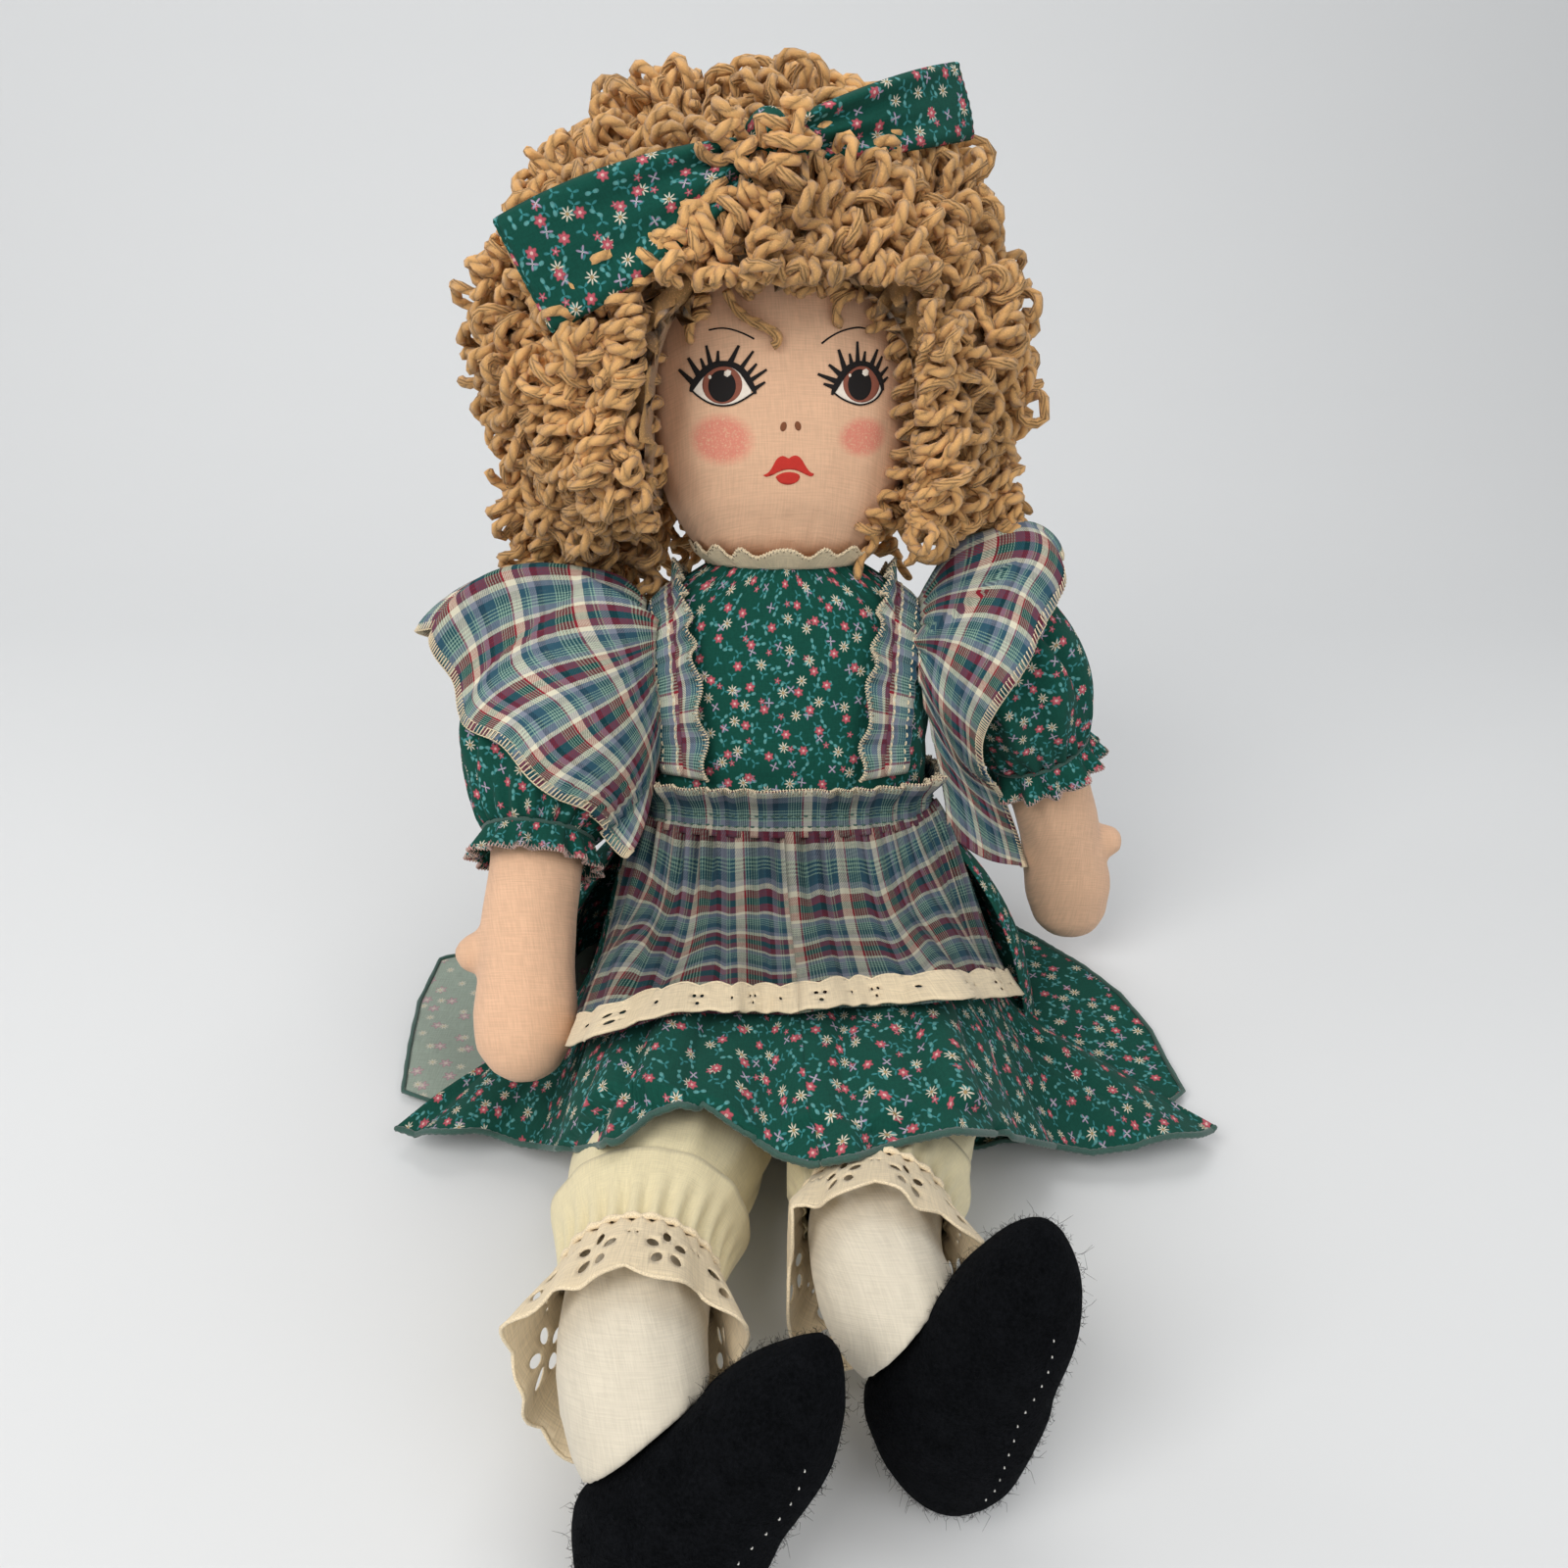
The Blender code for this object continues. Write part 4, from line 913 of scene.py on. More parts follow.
def overlock(name, path, look, body, slot, width, step, thread):
    """Machine edging along a cloth's edge: a thread looped over it, close together."""
    lengths = lengths_along([edge for edge, _, _ in path])
    count = max(int(lengths[-1] / step), 4)
    index = 0
    points = []
    for k in range(count + 1):
        along = lengths[-1] * k / count
        while index < len(path) - 2 and lengths[index + 1] < along:
            index += 1
        share = (along - lengths[index]) / max(lengths[index + 1] - lengths[index], 1e-9)
        edge, inward, normal = (a.lerp(b, share) for a, b in zip(path[index], path[index + 1]))
        inward.normalize()
        normal.normalize()
        reach = width if k % 2 else width * 0.35
        for way, lift in ((reach, 1), (-LOOP_PAST, 0.4), (-LOOP_PAST, -0.4), (reach, -1), (-LOOP_PAST, -0.2)):
            points.append(edge + inward * way + normal * (LOOP_LIFT * lift))
    return finished(tube(name, [points], thread, 4, taper=False), look, body, slot)


def edge_path(at, fixed, count, inside):
    """Edge, inward way and normal of a cloth at(s, t) along its side where t is fixed."""
    path = []
    for i in range(count + 1):
        u = i / count
        here = at(u, fixed)
        inward = (at(u, inside) - here).normalized()
        along = at(min(u + 0.004, 1), fixed) - at(max(u - 0.004, 0), fixed)
        path.append((here, inward, inward.cross(along).normalized()))
    return path


def running_stitch(name, path, lift, length, spacing, radius):
    """Short threads lying in a line along a path of (place, normal)."""
    lengths = lengths_along([place for place, _ in path])

    def at(along):
        for i in range(len(path) - 1):
            if along <= lengths[i + 1] or i == len(path) - 2:
                share = (along - lengths[i]) / max(lengths[i + 1] - lengths[i], 1e-9)
                place, normal = (a.lerp(b, share) for a, b in zip(path[i], path[i + 1]))
                return place, normal.normalized()

    paths = []
    along = spacing * 0.5
    while along + length < lengths[-1]:
        stitch = []
        for j in range(5):
            place, normal = at(along + length * j / 4)
            stitch.append(place + normal * (lift * sin(pi * j / 4) - radius * 0.6 * (j in (0, 4))))
        paths.append(stitch)
        along += spacing
    return tube(name, paths, radius, 5)


@functools.cache
def surface_of(name):
    mesh = (bpy.data.objects.get(name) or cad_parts[name]).data
    corners = [vertex.co.copy() for vertex in mesh.vertices]
    return BVHTree.FromPolygons(corners, [list(polygon.vertices) for polygon in mesh.polygons])


# Places in the picture
CAMERA_PLACE = Vector((0, -0.402, 0.295))
CAMERA_DOWN = radians(25.0)
CAMERA_FORWARD = Vector((0, cos(CAMERA_DOWN), -sin(CAMERA_DOWN)))
CAMERA_UP = Vector((0, sin(CAMERA_DOWN), cos(CAMERA_DOWN)))
PICTURE = 1600
PIXELS = 1202.0


def sight(px, py):
    """The way from the camera through a place in the picture."""
    right = Vector((1, 0, 0)) * ((px - PICTURE / 2) / PIXELS)
    return (CAMERA_FORWARD + right + CAMERA_UP * ((PICTURE / 2 - py) / PIXELS)).normalized()


def seen_at(place):
    """Where a place shows in the picture."""
    c, s = cos(CAMERA_DOWN), sin(CAMERA_DOWN)
    away = place - CAMERA_PLACE
    depth = away.y * c - away.z * s
    return PICTURE / 2 + PIXELS * away.x / depth, PICTURE / 2 - PIXELS * (away.y * s + away.z * c) / depth


def line_height(line, px):
    """The height of a line through places in the picture, at px across it."""
    for (ax, ay), (bx, by) in zip(line, line[1:]):
        if px <= bx or (bx, by) == line[-1]:
            return ay + (by - ay) * (px - ax) / (bx - ax)


def on_surface(tree, px, py):
    """Where a surface shows at a place in the picture, if it does."""
    return tree.ray_cast(CAMERA_PLACE, sight(px, py))[0]


# Body, head, arms and legs
FINE_VOXEL = 0.0018
JAW_DROP = 0.0045
JAW_HEIGHT = 0.030
CHIN_TUCKS = ((805, 526, 806, 549), (834, 522, 826, 547), (780, 530, 786, 547))
CHEEKS = ((736, 449, 0.0128), (881, 446, 0.0100))


def arm_radius(share):
    return ARM_RADIUS * between(ARM_SHARES, share, 1)


def make_torso():
    torso = stuffed("stuffed_torso", "torso", 0.004, 6)
    finished(torso, "skin", "torso", "skin", "torso")

    def seat(s, t):
        if t < 0.25:
            spot = spine(0)[0].lerp(torso_point(360 * s, 0.0), 0.08 + t / 0.25 * 0.92)
            return Vector((spot.x, spot.y, CLOTH + GAP + 0.0006))
        share = (t - 0.25) / 0.75 * (WAIST_SHARE - 0.06)
        wave = 0.0012 * (1 + sin(tau * 26 * s)) * smooth((t - 0.25) * 2)
        return outside_torso(360 * s, max(share, 0.001), SLIP + CLOTH / 2 + wave)

    cloth = panel("bloomers_seat_cloth", seat, 120, 24, True)
    declare(finished(cloth, "bloomers", "torso", "cream", "bloomers_seat"))


def make_head():
    head = stuffed("stuffed_head", "head", FINE_VOXEL, 14)
    dented(head, 0.030, 0.0007, 3.0)
    tree = surface_of("head")
    for x0, y0, x1, y1 in CHIN_TUCKS:
        tuck = [on_surface(tree, x0 + (x1 - x0) * k / 9, y0 + (y1 - y0) * k / 9) for k in range(10)]
        pushed(head, [spot for spot in tuck if spot], 0.0022, 0.0009)
    low = min(vertex.co.z for vertex in head.data.vertices)
    for vertex in head.data.vertices:
        vertex.co.z -= JAW_DROP * smooth((low + JAW_HEIGHT - vertex.co.z) / JAW_HEIGHT)
    BLUSHES.clear()
    for px, py, radius in CHEEKS:
        spot = on_surface(surface_of("stuffed_head"), px, py)
        if spot:
            BLUSHES.append((tuple(spot), radius))
    finished(head, "face", "head", "skin", "head")


def make_arm(side):
    arm = stuffed("stuffed_arm_" + side, "arm_" + side, FINE_VOXEL, 8)
    dented(arm, 0.018, 0.0009, 5.0 + SIDES[side])
    seam = []
    for i in range(60):
        share = 0.35 + 0.65 * i / 59
        place, _, across, _ = framed(*arm_at(side, share))
        seam.append(place - across * SIDES[side] * arm_radius(share))
    pushed(arm, seam, 0.0022, 0.0008)
    finished(arm, "skin", "arm_" + side, "skin", "arm_" + side)


def leg_radius(share):
    return THIGH_RADIUS + (ANKLE_RADIUS - THIGH_RADIUS) * smooth(share)


LEG_SEAM_SHIFT = 0.001


def make_leg(side):
    leg = stuffed("stuffed_leg_" + side, "leg_" + side, FINE_VOXEL, 8)
    dented(leg, 0.022, 0.0010, 9.0 + SIDES[side])
    seam = []
    for i in range(70):
        share = 0.4 + 0.6 * i / 69
        place, _, across, front = framed(*leg_at(side, share))
        seam.append(place + front * leg_radius(share) + across * (SIDES[side] * LEG_SEAM_SHIFT))
    pushed(leg, seam, 0.0020, 0.0009)
    finished(leg, "stocking", "leg_" + side, "stocking", "leg_" + side)


# The felt's seam stitches lie this far in from the sole's edge
STITCH_INSET = 0.0056


def make_shoe(side):
    body = "leg_" + side
    shoe = stuffed("felt_shoe_" + side, "shoe_" + side, 0.0016, 10)
    dented(shoe, 0.014, 0.0007, 2.0 + SIDES[side])
    toe, instep, across = foot_axes(side)
    corners = [vertex.co.copy() for vertex in shoe.data.vertices]
    centre = sum(corners, Vector()) / len(corners)
    for vertex, corner in zip(shoe.data.vertices, corners):
        away = corner - centre
        wide = smooth((away.dot(toe) / SHOE_LENGTH - 0.05) / 0.35)
        swell = instep * (away.dot(instep) * 0.26) + across * (away.dot(across) * 0.08)
        vertex.co += (toe * 0.0030 + swell) * wide
        vertex.co.z = max(vertex.co.z, 0.0004)
    finished(shoe, "felt", body, "felt", "shoe_" + side)
    tree = surface_of(shoe.name)
    for face, place in ((1, "in"), (-1, "out")):
        line = []
        for i in range(71):
            way = way_round(toe, instep, radians(-150 + 125 * i / 70))
            edge = tree.ray_cast(centre + way * 0.12, -way, 0.12)[0]
            if not edge:
                continue
            start = edge - way * STITCH_INSET + across * (face * 0.04)
            spot, normal, _, _ = tree.ray_cast(start, across * -face, 0.08)
            if spot and spot.z > 0.002:
                line.append((spot, normal))
        if len(line) > 5:
            stitches = running_stitch(f"shoe_stitches_{side}_{place}", line, 0.0003, 0.0006, 0.0042, 0.00015)
            finished(stitches, "white_thread", body, "felt")
    make_fuzz(side, shoe)


FUZZ_COUNT = 3400


def make_fuzz(side, shoe):
    """Loose fibres standing off the felt."""
    rng = random.Random(11 + SIDES[side])
    paths = []
    polygons = shoe.data.polygons
    for _ in range(FUZZ_COUNT):
        face = polygons[rng.randrange(len(polygons))]
        way = (face.normal + any_way(rng) * 0.9).normalized()
        bend = any_way(rng)
        length = rng.uniform(0.0006, 0.0020) if rng.random() < 0.92 else rng.uniform(0.002, 0.0055)
        spot = face.center.copy()
        if spot.z + way.z * length < 0.0003:
            continue
        paths.append([spot, spot + way * length * 0.5, spot + (way + bend * 0.9).normalized() * length])
    finished(tube("felt_fuzz_" + side, paths, 0.00005, 3), "felt", "leg_" + side, "felt")


# Frock
def bodice_at(start, end):
    foot = WAIST_SHARE - 0.01

    def at(s, t):
        angle = start + (end - start) * s
        share = foot + (0.958 - foot) * t
        drawn = (1 - smooth(t / 0.25)) + 0.5 * smooth((t - 0.75) / 0.25)
        puckers = 0.0010 * (1 + sin(tau * angle / 11)) * drawn
        folds = abs(0.0016 * noise_at(angle / 16, t * 5, 4.0))
        return outside_torso(angle, share, SLIP + CLOTH / 2 + puckers + folds)

    return at


def make_bodice():
    for name, start, end, wide, node in (
        ("bodice_front_cloth", 180.5, -0.5, 130, "bodice_front"),
        ("bodice_left_back", -0.5, -90.5, 66, "bodice_back_left"),
        ("bodice_right_back", 269.5, 179.5, 66, "bodice_back_right"),
    ):
        obj = finished(panel(name, bodice_at(start, end), wide, 60), "floral", "torso", "floral", node)
        declare(obj)

    def frill(s, t):
        share = 0.956 + 0.026 * t
        slow = ring_noise(tau * s, 2, 2.0)
        wave = sin(tau * 17 * s + 2 * slow) * (0.8 + 0.5 * slow)
        spot = outside_torso(360 * s, share, SLIP + CLOTH * 1.5)
        outward = Vector((spot.x, spot.y - spine(share)[0].y, 0)).normalized()
        return spot + outward * (0.0088 * t + 0.0008 * wave * t) + UP * (0.0022 * wave * t + 0.0030 * t)

    obj = finished(panel("neck_frill_cloth", frill, 260, 6, True), "lace", "torso", "ivory", "neck_frill")
    declare(obj)
    path = edge_path(frill, 1.0, 260, 0.9)
    overlock("neck_frill_edging", path, "edging", "torso", "ivory", 0.0012, 0.0013, 0.00028)


def skirt_at(u, v, lift=0.0):
    """The skirt's front with its gathers and folds; u from -1 to 1."""
    base = skirt_base(u, v)
    gather = (1 - smooth(v / 0.30)) * 0.0017 * sin(tau * 13 * u)
    slow = noise_at(u * 3.1, v * 1.2, 0.7)
    fold = 0.0030 * smooth(v * 1.5) * sin(tau * (3.4 * u + 0.30 * slow) + 1.1)
    fine = 0.0016 * smooth(v * 2) * noise_at(u * 9, v * 3.4, 3.1)
    hem = smooth((v - 0.80) / 0.20) * 0.0016 * sin(tau * (5.2 * u + 0.5 * slow) + 0.6)
    across = skirt_base(u + 0.01, v) - skirt_base(u - 0.01, v)
    along = skirt_base(u, min(v + 0.01, 1)) - skirt_base(u, max(v - 0.01, 0))
    normal = along.cross(across).normalized()
    spot = base + normal * (gather + abs(fold) + fine + lift)
    spot.y += hem
    spot.z = max(spot.z, 0.0022 + lift)
    return spot


# The front hem, as places in the picture
HEM_LINE = (
    (404, 1165), (435, 1148), (485, 1152), (530, 1168), (581, 1175), (631, 1166), (665, 1138), (693, 1128),
    (727, 1135), (760, 1157), (794, 1180), (828, 1190), (873, 1182), (923, 1166), (974, 1155), (1018, 1158),
    (1063, 1168), (1114, 1177), (1159, 1171), (1204, 1149), (1249, 1129),
)


@functools.cache
def hem_reach(u):
    """How far down its length the skirt's cloth comes, so that its hem lies on that line."""
    low, high = 0.70, 1.20
    for _ in range(14):
        middle = (low + high) / 2
        px, py = seen_at(skirt_at(u, middle))
        low, high = (middle, high) if py < line_height(HEM_LINE, px) else (low, middle)
    return 1 + (low - 1) * (1 - smooth((abs(u) - 0.80) / 0.16))


def hip_blend(obj, side):
    top = hip(side)
    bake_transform(obj)
    return obj


# The back's edge on the floor, as shares of half the skirt's spread
UNDER_SHARES = (
    (1.034, -0.345), (1.020, 0.0), (0.862, 0.310), (0.620, 0.586), (0.345, 0.724), (-0.414, 0.724),
    (-0.759, 0.517), (-0.931, 0.310), (-1.090, 0.255), (-0.952, -0.545), (0.828, -0.545),
)


@functools.cache
def under_reach(angle):
    """How far the back's edge on the floor lies from its middle, this way."""
    way = Vector((cos(angle), sin(angle)))
    corners = [Vector(p) * SKIRT_HALF_SPREAD for p in smooth_line(list(UNDER_SHARES) + [UNDER_SHARES[0]], 1)]
    found = 0.0
    for p, q in zip(corners, corners[1:] + corners[:1]):
        side = q - p
        slope = way.x * side.y - way.y * side.x
        if abs(slope) > 1e-12:
            along = (p.x * side.y - p.y * side.x) / slope
            share = (p.x * way.y - p.y * way.x) / slope
            if along > 0 and -1e-6 <= share <= 1 + 1e-6:
                found = max(found, along)
    return found


def spread_at(a, b):
    size = max(abs(a), abs(b))
    angle = atan2(b, a) if size else 0.0
    reach = size * under_reach(round(angle, 5))
    fold = smooth((size - 0.5) / 0.5) * (1 + 1.2 * noise_at(a * 4, b * 3, 1.0))
    return Vector((cos(angle) * reach, sin(angle) * reach, 0.0006 + 0.0026 * max(fold, 0)))


BACK_REACH = 0.100
BACK_FOOT_Z = 0.0016


def hung_back(s, t):
    """The skirt's back from the waist to the floor, round behind the doll."""
    angle = 9 - 198 * s
    waist = outside_torso(angle, WAIST_SHARE, GAP * 2 + CLOTH * 1.5)
    turn = radians(angle)
    foot = Vector((cos(turn) * BACK_REACH, -sin(turn) * BACK_REACH, BACK_FOOT_Z))
    spot = waist.lerp(foot, t)
    slow = noise_at(s * 5, t, 9.0)
    bow = sin(pi * t) * TORSO_HALF_DEPTH * 0.25
    bow += 0.0035 * smooth(t * 3) * sin(tau * (9 * s + 0.4 * slow))
    outward = Vector((foot.x, foot.y, 0)).normalized()
    return Vector((spot.x, spot.y, max(waist.z + (foot.z - waist.z) * t, BACK_FOOT_Z))) + outward * bow


def half(side):
    """Where a side's half of the front starts and ends, across from -1 to 1."""
    return (0, 1) if side == "left" else (-1, 0)


def make_skirt():
    for side in SIDES:
        low, high = half(side)

        def at(s, t, low=low, high=high):
            u = low + (high - low) * s
            return skirt_at(u, t * hem_reach(round(u, 3)))

        obj = panel("skirt_front_" + side, at, 120, 96, measured=True)
        declare(finished(obj, "floral", None, "floral", "skirt_front"))
        hip_blend(obj, side)
        line = [at(i / 200, 1.0) + Vector((0, 0.0004, 0)) for i in range(201)]
        edge = cord("skirt_hem_" + side, [line], 0.0011, 0.003)
        hip_blend(finished(edge, "hem_thread", None, "floral", "skirt_front"), side)

    obj = finished(panel("skirt_back_hung", hung_back, 160, 60), "floral", "torso", "floral", "skirt_back")
    declare(obj)

    for side, turn, cloth in (("left", 0, "floral"), ("right", -1, "wrong_side")):
        def floor(s, t, turn=turn):
            return spread_at(s + turn, 2 * t - 1)

        obj = panel("skirt_back_spread_" + side, floor, 60, 90)
        finished(obj, cloth, "torso", "floral", "skirt_back")
        for loop, place in zip(obj.data.loops, obj.data.uv_layers[0].data):
            place.uv = obj.data.vertices[loop.vertex_index].co.xy
        declare(obj)
        end = -1 if turn else 1
        rim = [spread_at(end * i / 60, -1) for i in range(61)]
        rim += [spread_at(end, i / 60 - 1) for i in range(1, 121)]
        rim += [spread_at(end * (1 - i / 60), 1) for i in range(1, 61)]
        edge = cord("skirt_back_hem_" + side, [[p + UP * 0.0006 for p in rim]], 0.0009, 0.003)
        finished(edge, "hem_thread", "torso", "floral", "skirt_back")


# Face
CROP_X, CROP_Y, CROP_SCALE = 645.06, 253.4, 4.405


def from_crop(points):
    """Places measured on an enlarged view of the face, as places in the picture."""
    return [(CROP_X + x / CROP_SCALE, CROP_Y + y / CROP_SCALE) for x, y in points]


def ring_of(cx, cy, rx, ry, turn, count):
    """An oval's outline: its middle, its half width and height, its turn and its number of points."""
    c, s = cos(turn), sin(turn)
    ring = [(rx * cos(tau * i / count), ry * sin(tau * i / count)) for i in range(count)]
    return [(cx + x * c - y * s, cy + x * s + y * c) for x, y in ring]


def oval(cx, cy, rx, ry, turn=0.0):
    return from_crop(ring_of(cx, cy, rx, ry, radians(turn), 36))


def smooth_line(points, rounds=2):
    for _ in range(rounds):
        longer = [points[0]]
        for a, b in zip(points, points[1:]):
            longer.append(tuple(p * 0.75 + q * 0.25 for p, q in zip(a, b)))
            longer.append(tuple(p * 0.25 + q * 0.75 for p, q in zip(a, b)))
        points = longer + [points[-1]]
    return points


def stroke(points):
    """The outline of a brush stroke through (x, y, width) points."""
    points = smooth_line(points)
    left = []
    right = []
    for i, (x, y, width) in enumerate(points):
        ax, ay, _ = points[max(i - 1, 0)]
        bx, by, _ = points[min(i + 1, len(points) - 1)]
        length = hypot(bx - ax, by - ay) or 1
        nx, ny = -(by - ay) / length * width / 2, (bx - ax) / length * width / 2
        left.append((x + nx, y + ny))
        right.append((x - nx, y - ny))
    return from_crop(left + right[::-1])


def lash(x0, y0, x1, y1, wide):
    bend = (x0 + (x1 - x0) * 0.45, y0 + (y1 - y0) * 0.45, wide * 0.72)
    return stroke([(x0, y0, wide), bend, (x1, y1, wide * 0.45)])


INK_STEP = 2.6


def printed(name, ink, lift, outlines):
    """Flat shapes laid on the face, each from its outline in the picture."""
    tree = surface_of("stuffed_head")
    points = []
    faces = []
    for outline in outlines:
        ring = [Vector(p) for p in outline]
        low_x, high_x = min(p.x for p in ring), max(p.x for p in ring)
        low_y, high_y = min(p.y for p in ring), max(p.y for p in ring)
        inner = [
            Vector((low_x + INK_STEP * i, low_y + INK_STEP * j))
            for i in range(int((high_x - low_x) / INK_STEP) + 1)
            for j in range(int((high_y - low_y) / INK_STEP) + 1)
        ]
        whole = [list(range(len(ring)))]
        spots, _, triangles, *_ = geometry.delaunay_2d_cdt(ring + inner, [], whole, 1, 1e-4)
        base = len(points)
        points += [on_surface(tree, spot.x, spot.y) + Vector((0, -lift, lift * 0.4)) for spot in spots]
        faces += [[base + k for k in triangle] for triangle in triangles]
    obj = mesh_object(name, points, faces)
    for polygon in obj.data.polygons:
        if polygon.normal.y > 0:
            polygon.flip()
    obj.data.update()
    apply_modifier(obj, "SOLIDIFY", thickness=0.00005, offset=0)
    return finished(obj, ink, "head", "skin")


# Outlines and brush strokes (x, y, width) of the face, on the enlarged view
EYE_WHITES = (
    (
        (270, 636), (300, 585), (345, 540), (405, 524), (465, 540), (510, 590), (545, 648), (500, 682),
        (455, 702), (405, 708), (350, 698), (300, 668), (270, 636),
    ),
    (
        (908, 646), (930, 600), (965, 550), (1030, 522), (1085, 545), (1112, 590), (1124, 636), (1105, 668),
        (1075, 692), (1035, 704), (990, 698), (945, 678), (908, 646),
    ),
)
SHINES = (
    ((414, 556), (430, 545), (446, 553), (442, 570), (428, 580), (413, 572)),
    ((1036, 550), (1052, 541), (1064, 552), (1060, 572), (1046, 576), (1034, 566)),
)
LIDS = (
    (
        (262, 646, 12), (272, 622, 26), (292, 590, 30), (325, 552, 32), (365, 526, 30), (405, 518, 24),
        (450, 522, 26), (492, 546, 30), (522, 590, 30), (545, 634, 24), (556, 655, 10),
    ),
    (
        (262, 636, 8), (300, 670, 8), (350, 700, 8), (405, 711, 8), (455, 704, 8), (500, 682, 8), (548, 650, 9),
    ),
    (
        (898, 660, 10), (908, 636, 24), (930, 596, 28), (955, 556, 30), (990, 526, 28), (1030, 516, 22),
        (1070, 526, 24), (1102, 560, 26), (1120, 600, 22), (1126, 640, 12),
    ),
    (
        (903, 648, 8), (945, 680, 8), (1000, 702, 8), (1035, 706, 8), (1080, 692, 8), (1110, 666, 8),
        (1126, 634, 9),
    ),
)
LASHES = (
    (280, 612, 210, 546, 20), (300, 572, 252, 494, 20), (328, 548, 308, 496, 15), (354, 530, 333, 438, 16),
    (384, 520, 386, 462, 14), (436, 524, 480, 438, 18), (484, 548, 545, 463, 15), (512, 576, 560, 520, 15),
    (525, 600, 605, 546, 15), (548, 634, 598, 602, 14), (915, 628, 860, 610, 16), (920, 600, 834, 566, 17),
    (940, 572, 884, 524, 18), (958, 552, 928, 456, 18), (988, 528, 977, 474, 14), (1014, 518, 1012, 420, 14),
    (1040, 518, 1047, 464, 13), (1074, 530, 1103, 455, 15), (1096, 550, 1124, 486, 14),
    (1112, 576, 1149, 534, 13), (1122, 606, 1149, 580, 12),
)
LASH_SWELL = 1.5
BROWS = (
    ((344, 368, 8), (392, 358, 7), (440, 362, 7), (500, 382, 8), (549, 408, 8)),
    ((851, 429, 9), (890, 398, 8), (940, 372, 8), (1000, 356, 8), (1040, 357, 7), (1071, 371, 7)),
)
LIPS = (
    (
        (588, 1021), (612, 1010), (630, 985), (648, 948), (672, 932), (692, 938), (704, 946), (716, 936),
        (738, 930), (760, 944), (782, 984), (802, 1009), (821, 1014), (806, 1029), (775, 1015), (738, 997),
        (700, 993), (662, 1003), (628, 1022), (602, 1028),
    ),
    (
        (646, 1026), (668, 1012), (700, 1005), (735, 1009), (756, 1022), (748, 1046), (722, 1061), (690, 1064),
        (660, 1053), (646, 1032),
    ),
)


def make_face():
    whites = [from_crop(smooth_line(outline, 1)[:-1]) for outline in EYE_WHITES]
    shines = [from_crop(outline) for outline in SHINES] + [oval(349, 580, 7, 9), oval(979, 572, 6, 8)]
    black = [stroke(line) for line in LIDS]
    black += [lash(x0, y0, x1, y1, wide * LASH_SWELL) for x0, y0, x1, y1, wide in LASHES]
    for name, ink, lift, outlines in (
        ("eye_whites", "white_ink", 0.00010, whites),
        ("irises", "brown_ink", 0.00016, [oval(405, 614, 90, 86), oval(1030, 608, 82, 86)]),
        ("pupils", "black_ink", 0.00022, [oval(404, 620, 62, 72), oval(1023, 614, 53, 70)]),
        ("eye_shines", "white_ink", 0.00028, shines),
        ("lids_and_lashes", "black_ink", 0.00034, black),
        ("brows", "black_ink", 0.00012, [stroke(line) for line in BROWS]),
        ("nostrils", "brow_ink", 0.00012, [oval(680, 802, 14, 22, 15), oval(745, 799, 14, 21, -12)]),
        ("lips", "red_ink", 0.00014, [from_crop(smooth_line(outline, 1)) for outline in LIPS]),
    ):
        printed("print_" + name, ink, lift, outlines)


# Wig
def coil(places, normals, radius, turns, rng, start, loose):
    """A coil about a path: places and the way off the scalp at each."""
    path = []
    steps = max(int(turns * 12), 8)
    last = len(places) - 1
    for k in range(steps + 1):
        position = last * k / steps
        low = min(int(position), last - 1)
        share = position - low
        place = places[low].lerp(places[low + 1], share)
        normal = normals[low].lerp(normals[low + 1], share).normalized()
        heading = (places[low + 1] - places[low]).normalized()
        normal = (normal - heading * normal.dot(heading)).normalized()
        other = heading.cross(normal)
        slow = noise_at(k * 0.09, start * 3, radius * 900)
        wide = radius * (0.72 + 0.35 * sin(pi * k / steps)) * (1 + 0.55 * slow)
        angle = start + tau * turns * k / steps + 1.4 * slow
        path.append(place + way_round(normal, other, angle) * wide)
    if loose:
        heading = (path[-1] - path[-3]).normalized() + normals[-1] * rng.uniform(0.2, 1.0)
        bend = any_way(rng) * 0.25
        for _ in range(rng.randint(4, 9)):
            heading = (heading + bend).normalized()
            path.append(path[-1] + heading * 0.0013)
    return path


def curl_on_wig(tree, centre, spot, normal, rng, length, radius, turns, fall):
    """One curl lying over the wig's surface."""
    drift = any_way(rng)
    heading = (drift - normal * drift.dot(normal)).normalized()
    down = Vector((0, 0, -1)) - normal * -normal.z
    heading = (heading + down * fall * 2).normalized()
    sunk = rng.choice((0.0, 0.0030, 0.0055))
    stand = rng.choice((0, 0, 0.003, 0.006, 0.010)) * (sunk < 0.005)
    sway = rng.uniform(0, 9)
    steps = 8
    places = []
    normals = []
    here = spot
    for k in range(steps + 1):
        lift = stand * sin(pi * k / steps) - sunk
        places.append(here + normal * lift + noise.noise_vector(Vector((sway, k * 0.45, 0))) * 0.0035)
        normals.append(normal)
        here = here + heading * (length / steps)
        near, facing, _, _ = tree.find_nearest(here)
        if near and facing.dot(near - centre) > 0:
            here = near
            normal = normal.lerp(facing, 0.5).normalized()
            heading = (heading - normal * heading.dot(normal) + down * 0.06).normalized()
    return coil(places, normals, radius, turns, rng, rng.uniform(0, tau), rng.random() < 0.45)


YARN_TWIST = 0.0068
WIG_SEED = 7
LOWEST_CURL_Z = 0.2035
CAP_SINK = 0.0068
BROW_SINK = 0.0075
GOLDEN_ANGLE = pi * (3 - sqrt(5))


